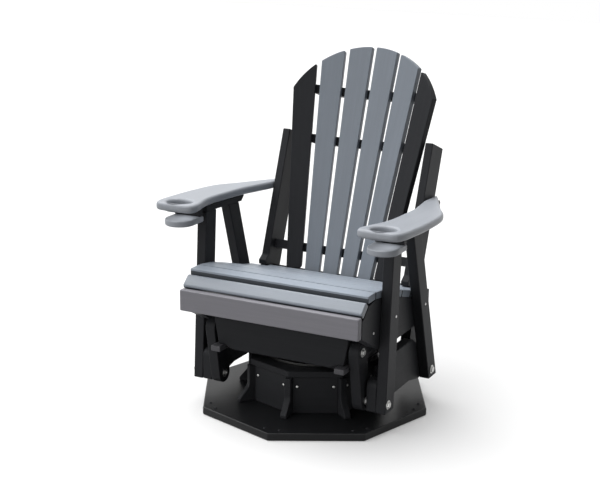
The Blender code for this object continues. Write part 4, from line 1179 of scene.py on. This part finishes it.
class GLIDER_OT_back(bpy.types.Operator):
    """Six fanned back slats, three battens and the foot rail"""

    bl_idname = "glider.back"
    bl_label = "Fan back"

    def execute(self, context):
        back = settings("back")
        for number, rank in enumerate(RANKS, start=1):
            self.slat(f"back_slat_{number}", rank, rank in (RANKS[0], RANKS[-1]), back)
        upright = spans("back_upright_right")[0][0] - GAP
        self.batten("back_foot_rail", FOOT_RAIL_RISE - back.tail, FOOT_RAIL_WIDTH, upright, back)
        self.batten("back_batten_lower", LOWER_BATTEN, BATTEN_WIDTH, upright, back)
        for stem, along in (("middle", MIDDLE_BATTEN), ("upper", UPPER_BATTEN)):
            end, _ = slat_place(RANKS[-1], 0.0, along, 0.0)
            self.batten(f"back_batten_{stem}", along, BATTEN_WIDTH, end - back.batten_inset, back)
        return {"FINISHED"}

    def slat(self, node, rank, outer, back):
        """Tapered board whose head lies on the arch: along = top - radius + root(radius² - x²).

        Its foot is cut level: along falls by tan(lean) for each step forward of its centre line.
        """
        start = back.outer_start if outer else -back.tail
        foot = slat_width(start) / 2
        t = np.linspace(1, -1, HEAD_STEPS)
        along = np.full(t.shape, back.head)
        for _ in range(HEAD_ROUNDS):
            step = t * slat_width(along) / 2
            x, _ = slat_place(rank, step, along, 0.0)
            along = back.head - back.arch + np.sqrt(back.arch**2 - x**2)
        tip = OUTER_TIP if outer else INNER_TIP
        head = [(s, a, tip if abs(k) == 1 else HEAD_CURVE) for s, a, k in zip(step, along, t)]
        loop = rounded([(-foot, start), (foot, start), *head], SLAT_CORNER, steps=5)

        def place(u, v, w):
            x, forward = slat_place(rank, u, v, w)
            _, centre = slat_place(rank, 0.0, v, 0.0)
            level = between(1, 0, v) * (forward - centre) * tan(back.lean)
            return back_point(x, v - level, forward)

        # The inner back slats take a shaded copy of the grey: painted shade
        node_board(node, place, loop, span=(0.0, settings("seat").stock),
                   kind="black" if outer else "grey", edge=BACK_SLAT_EDGE, grain=GRAIN_UPWARD)

    def batten(self, node, along, width, end, back):
        """Board whose front edge follows the slats' backs and whose rear edge is straight."""
        stock = settings("seat").stock
        half = slat_width(along) / 2
        front = [slat_place(rank, step, along, stock + BATTEN_GAP)
                 for rank in RANKS for step in (-half, half)]
        inner = [place for place in front if abs(place[0]) < end]
        (x0, f0), (x1, f1) = front[-2:]
        slope = 0.0 if end > x1 else (f1 - f0) / (x1 - x0)
        end_forward = inner[-1][1] + slope * (end - inner[-1][0])
        rear = -stock - back.batten_depth
        corners = [(-end, end_forward), *inner, (end, end_forward),
                   (end, rear, BATTEN_REAR), (-end, rear, BATTEN_REAR)]
        node_board(node, lambda u, v, w: back_point(u, w, v),
                   rounded(corners, BATTEN_CORNER, steps=4),
                   span=(along - width / 2, along + width / 2), edge=BATTEN_EDGE)


# Arms


# The arm's outline in shares of its width, from the inside, and of its length, from the front
ARM_SHARES = np.array((
    (0.25, 0.000), (0.57, 0.000), (0.81, 0.006), (0.92, 0.030), (0.971, 0.085),
    (0.986, 0.17), (0.993, 0.27), (0.979, 0.40), (0.936, 0.52), (0.85, 0.61),
    (0.62, 0.713), (0.43, 0.814), (0.18, 0.940), (0.10, 0.985), (0.05, 1.000),
    (0.005, 0.985), (0.00, 0.86), (0.043, 0.79), (0.10, 0.71), (0.157, 0.63),
    (0.182, 0.54), (0.193, 0.42), (0.196, 0.32), (0.171, 0.245), (0.114, 0.18),
    (0.036, 0.115), (-0.014, 0.065), (-0.007, 0.035), (0.057, 0.010),
))
CUP_PLAY, CUP_SIDES = 0.0001, 64
SHELF_EDGE, SHELF_STEPS = 0.0045, 33
HANGER_DEPTH, HANGER_INSET, HANGER_CORNER = 0.019, 0.0012, 0.0032
# The node that each screw of the right side lies on, its place from the axis and its height
SIDE_SCREWS = (("front_post_right", -0.127, 0.357), ("front_post_right", 0.098, 0.332),
               ("seat_rail_right", -0.211, 0.326))
# A low dome on a short rim: height and radius in bolt radii
ARM_BOLT_HEAD = np.array((
    (-0.002, 0.95), (0.0, 1.0), (0.12, 1.0), (0.3, 0.86), (0.45, 0.6), (0.54, 0.3), (0.56, 0.06),
))
ARM_BOLT_SIDES = 24
INNER_BAND = 0.02  # how wide the part of the arm's outline is that no bolt lies on


def arm_plan(size):
    """Outline of the right arm: a smooth closed curve through its shares of width and length."""
    low = np.array((size.inner_x, size.front_y))
    return flowing(low + ARM_SHARES * (np.array((size.outer_x, size.rear_y)) - low))


class GLIDER_OT_arms(bpy.types.Operator):
    """Contoured arms with cup holes, and the cup holders under them"""

    bl_idname = "glider.arms"
    bl_label = "Arms and cup holders"

    def execute(self, context):
        size = settings("arm")
        for hand, side in HANDS:
            self.arm(f"arm_{hand}", side, cornerless(arm_plan(size) * (side, 1)), size)
            self.holder(f"cup_holder_{hand}", side * size.cup_x, size)
        return {"FINISHED"}

    def arm(self, node, side, loop, size):
        """Pierced slab turned by the arm's fall about the cup holes' line at its top."""
        c, s = cos(size.fall), sin(size.fall)

        def place(u, v, w):
            y, z = v - size.cup_y, w - size.top
            return u, size.cup_y + y * c + z * s, size.top + z * c - y * s

        hole = circle(side * size.cup_x, size.cup_y, size.cup + CUP_PLAY, CUP_SIDES)
        node_board(node, place, loop, hole, span=(size.top - size.stock, size.top),
                   kind="pale", edge=settings("finish").arm_edge, grain=GRAIN_UPWARD)

    def holder(self, node, x, size):
        """Shelf with a half-round front, and the hanger between its rear edge and the arm."""
        _, (_, rear), (floor, _) = spans(node)
        top = size.top - size.stock - size.shelf_drop
        t = np.linspace(pi, tau, SHELF_STEPS)
        points = np.concatenate([polar(size.shelf, t) + (x, size.cup_y),
                                 [(x + size.shelf, rear), (x - size.shelf, rear)]])
        add_board(f"{node}_shelf", [cornerless(points)], upward, (floor, top), [node],
                  kind="pale", edge=SHELF_EDGE)
        front, reach = rear - HANGER_DEPTH, size.shelf - HANGER_INSET
        hanger = [(front, top), (rear, top), (rear, arm_underside(rear)),
                  (front, arm_underside(front))]
        # The hanger keeps the black board finish though it is pale like the shelf: painted shade
        # for its front between the arm and the shelf
        add_board(f"{node}_hanger", [rounded(hanger, HANGER_CORNER)], across,
                  (x - reach, x + reach))


class GLIDER_OT_screws(bpy.types.Operator):
    """Screw heads on the posts and seat rails, and bolt heads on the arms' edges"""

    bl_idname = "glider.screws"
    bl_label = "Frame screws"

    def execute(self, context):
        places = [(side * spans(node)[0][1], y, z) for node, y, z in SIDE_SCREWS
                  for _, side in HANDS]
        out = [(side, 0, 0) for _ in SIDE_SCREWS for _, side in HANDS]
        screws("side_screws", places, out, "chair", SIDE_SCREW_SIZE)
        self.arm_bolts(settings("arm"))
        return {"FINISHED"}

    def arm_bolts(self, arm):
        """A domed bolt head square on the outer edge of each arm, beside its upright."""
        plan = arm_plan(arm)
        k = np.argmin(np.abs(plan[:, 1] - arm.bolt_y) + (plan[:, 0] < arm.inner_x + INNER_BAND))
        x, y = plan[k]
        run = plan[(k + 1) % len(plan)] - plan[k - 1]
        middle = arm.top - arm.stock / 2 - (y - arm.cup_y) * tan(arm.fall)
        places = [(side * x, y, middle) for _, side in HANDS]
        out = [(side * run[1], -run[0], 0.0) for _, side in HANDS]
        add_turned("arm_bolts", ARM_BOLT_HEAD * arm.bolt, ARM_BOLT_SIDES, places, out,
                   kind="ring", sharp=60)


# Stage


CAMERA_PLACE = (1.7470, -3.4890, 1.5600)
CAMERA_AZIMUTH, CAMERA_ELEVATION, CAMERA_ROLL = 27.33, 15.46, 0.55
CAMERA_FOCAL_PIXELS, CAMERA_SHIFT_PIXELS, FRAME_WIDTH = 1327.9, 0.7, 600
FLOOR_REACH, FLOOR_DROP = 12.0, 0.0005
# The floor's colour and glow, as light meets it and as the camera sees it
FLOOR_COLOURS = ((0.16, 0.16, 0.16), (0.72, 0.72, 0.72))
FLOOR_GLOWS = ((0.0, 0.0, 0.0), (0.22, 0.22, 0.22))
WORLD_LIGHT = 0.13
# Wide soft suns: where each comes from, the share of a surface's colour it shows, its spread
SUNS = (("key_light", (-0.40, 0.06, 1.0), 1.30, 80.0),
        ("front_light", (-0.45, -1.0, 0.15), 0.36, 60.0))


class GLIDER_OT_stage(bpy.types.Operator):
    """White floor, soft studio lights and the camera"""

    bl_idname = "glider.stage"
    bl_label = "Stage"

    def execute(self, context):
        scene = context.scene
        scene.view_settings.view_transform = "Standard"
        self.floor()
        scene.world = bpy.data.worlds.new("studio_world")
        shader = Shader(scene.world, "Background")
        shader.put("Color", (1.0, 1.0, 1.0))
        shader.put("Strength", shader.seen() * (1.0 - WORLD_LIGHT) + WORLD_LIGHT)
        for name, place, level, spread in SUNS:
            lamp = bpy.data.lights.new(name, "SUN")
            lamp.energy = level * pi
            lamp.angle = radians(spread)
            light = add_object(name, lamp)
            light.rotation_euler = Vector(place).to_track_quat("Z", "Y").to_euler()
        scene.camera = self.camera()
        return {"FINISHED"}

    def floor(self):
        mesh = bpy.data.meshes.new("studio_floor")
        square = box_corners(-FLOOR_REACH, FLOOR_REACH, -FLOOR_REACH, FLOOR_REACH)
        mesh.from_pydata([(*corner, 0) for corner in square], [], [(0, 1, 2, 3)])
        floor = add_object("studio_floor", mesh)
        floor.location.z = -FLOOR_DROP
        material, shader = principled("studio_floor", FLOOR_COLOURS[0], roughness=0.9,
                                      specular=0.0)
        seen = shader.seen()
        shader.put("Base Color", shader.mixed(seen, *FLOOR_COLOURS))
        shader.put("Emission Color", shader.mixed(seen, *FLOOR_GLOWS))
        shader.put("Emission Strength", 1.0)
        mesh.materials.append(material)

    def camera(self):
        """Looks from the azimuth and elevation of the view, with its small roll."""
        data = bpy.data.cameras.new("view_camera")
        data.lens = CAMERA_FOCAL_PIXELS / FRAME_WIDTH * data.sensor_width
        data.shift_x = CAMERA_SHIFT_PIXELS / FRAME_WIDTH
        camera = add_object("view_camera", data)
        camera.matrix_world = Matrix.Translation(CAMERA_PLACE)
        for degrees, axis in ((CAMERA_AZIMUTH, "Z"), (90 - CAMERA_ELEVATION, "X"),
                              (CAMERA_ROLL, "Z")):
            camera.matrix_world @= Matrix.Rotation(radians(degrees), 4, axis)
        return camera


OPERATORS = (
    GLIDER_OT_base, GLIDER_OT_bearing, GLIDER_OT_swivel_frame, GLIDER_OT_links,
    GLIDER_OT_pivot_bolts, GLIDER_OT_side_frames, GLIDER_OT_seat, GLIDER_OT_back,
    GLIDER_OT_arms, GLIDER_OT_screws, GLIDER_OT_stage,
)


class GLIDER_PT_panel(bpy.types.Panel):
    """Lists the glider's pieces and its sizes"""

    bl_idname = "GLIDER_PT_panel"
    bl_label = "Swivel glider"
    bl_space_type = "VIEW_3D"
    bl_region_type = "UI"
    bl_category = "Glider"

    def draw(self, context):
        for operator in OPERATORS:
            self.layout.operator(operator.bl_idname)
        for name, group in GROUPS.items():
            box = self.layout.box()
            for key in group.__annotations__:
                box.prop(getattr(context.scene, name), key)


def register():
    for made in (*GROUPS.values(), *OPERATORS, GLIDER_PT_panel):
        bpy.utils.register_class(made)
    for name, group in GROUPS.items():
        setattr(bpy.types.Scene, name, bpy.props.PointerProperty(type=group))


def unregister():
    for name in GROUPS:
        delattr(bpy.types.Scene, name)
    for made in reversed((*GROUPS.values(), *OPERATORS, GLIDER_PT_panel)):
        bpy.utils.unregister_class(made)


def main():
    register()
    make_finishes()
    for operator in OPERATORS:
        group, name = operator.bl_idname.split(".")
        if getattr(getattr(bpy.ops, group), name)() != {"FINISHED"}:
            raise RuntimeError(f"{operator.bl_label} wasn't made")


if __name__ == "__main__":
    main()
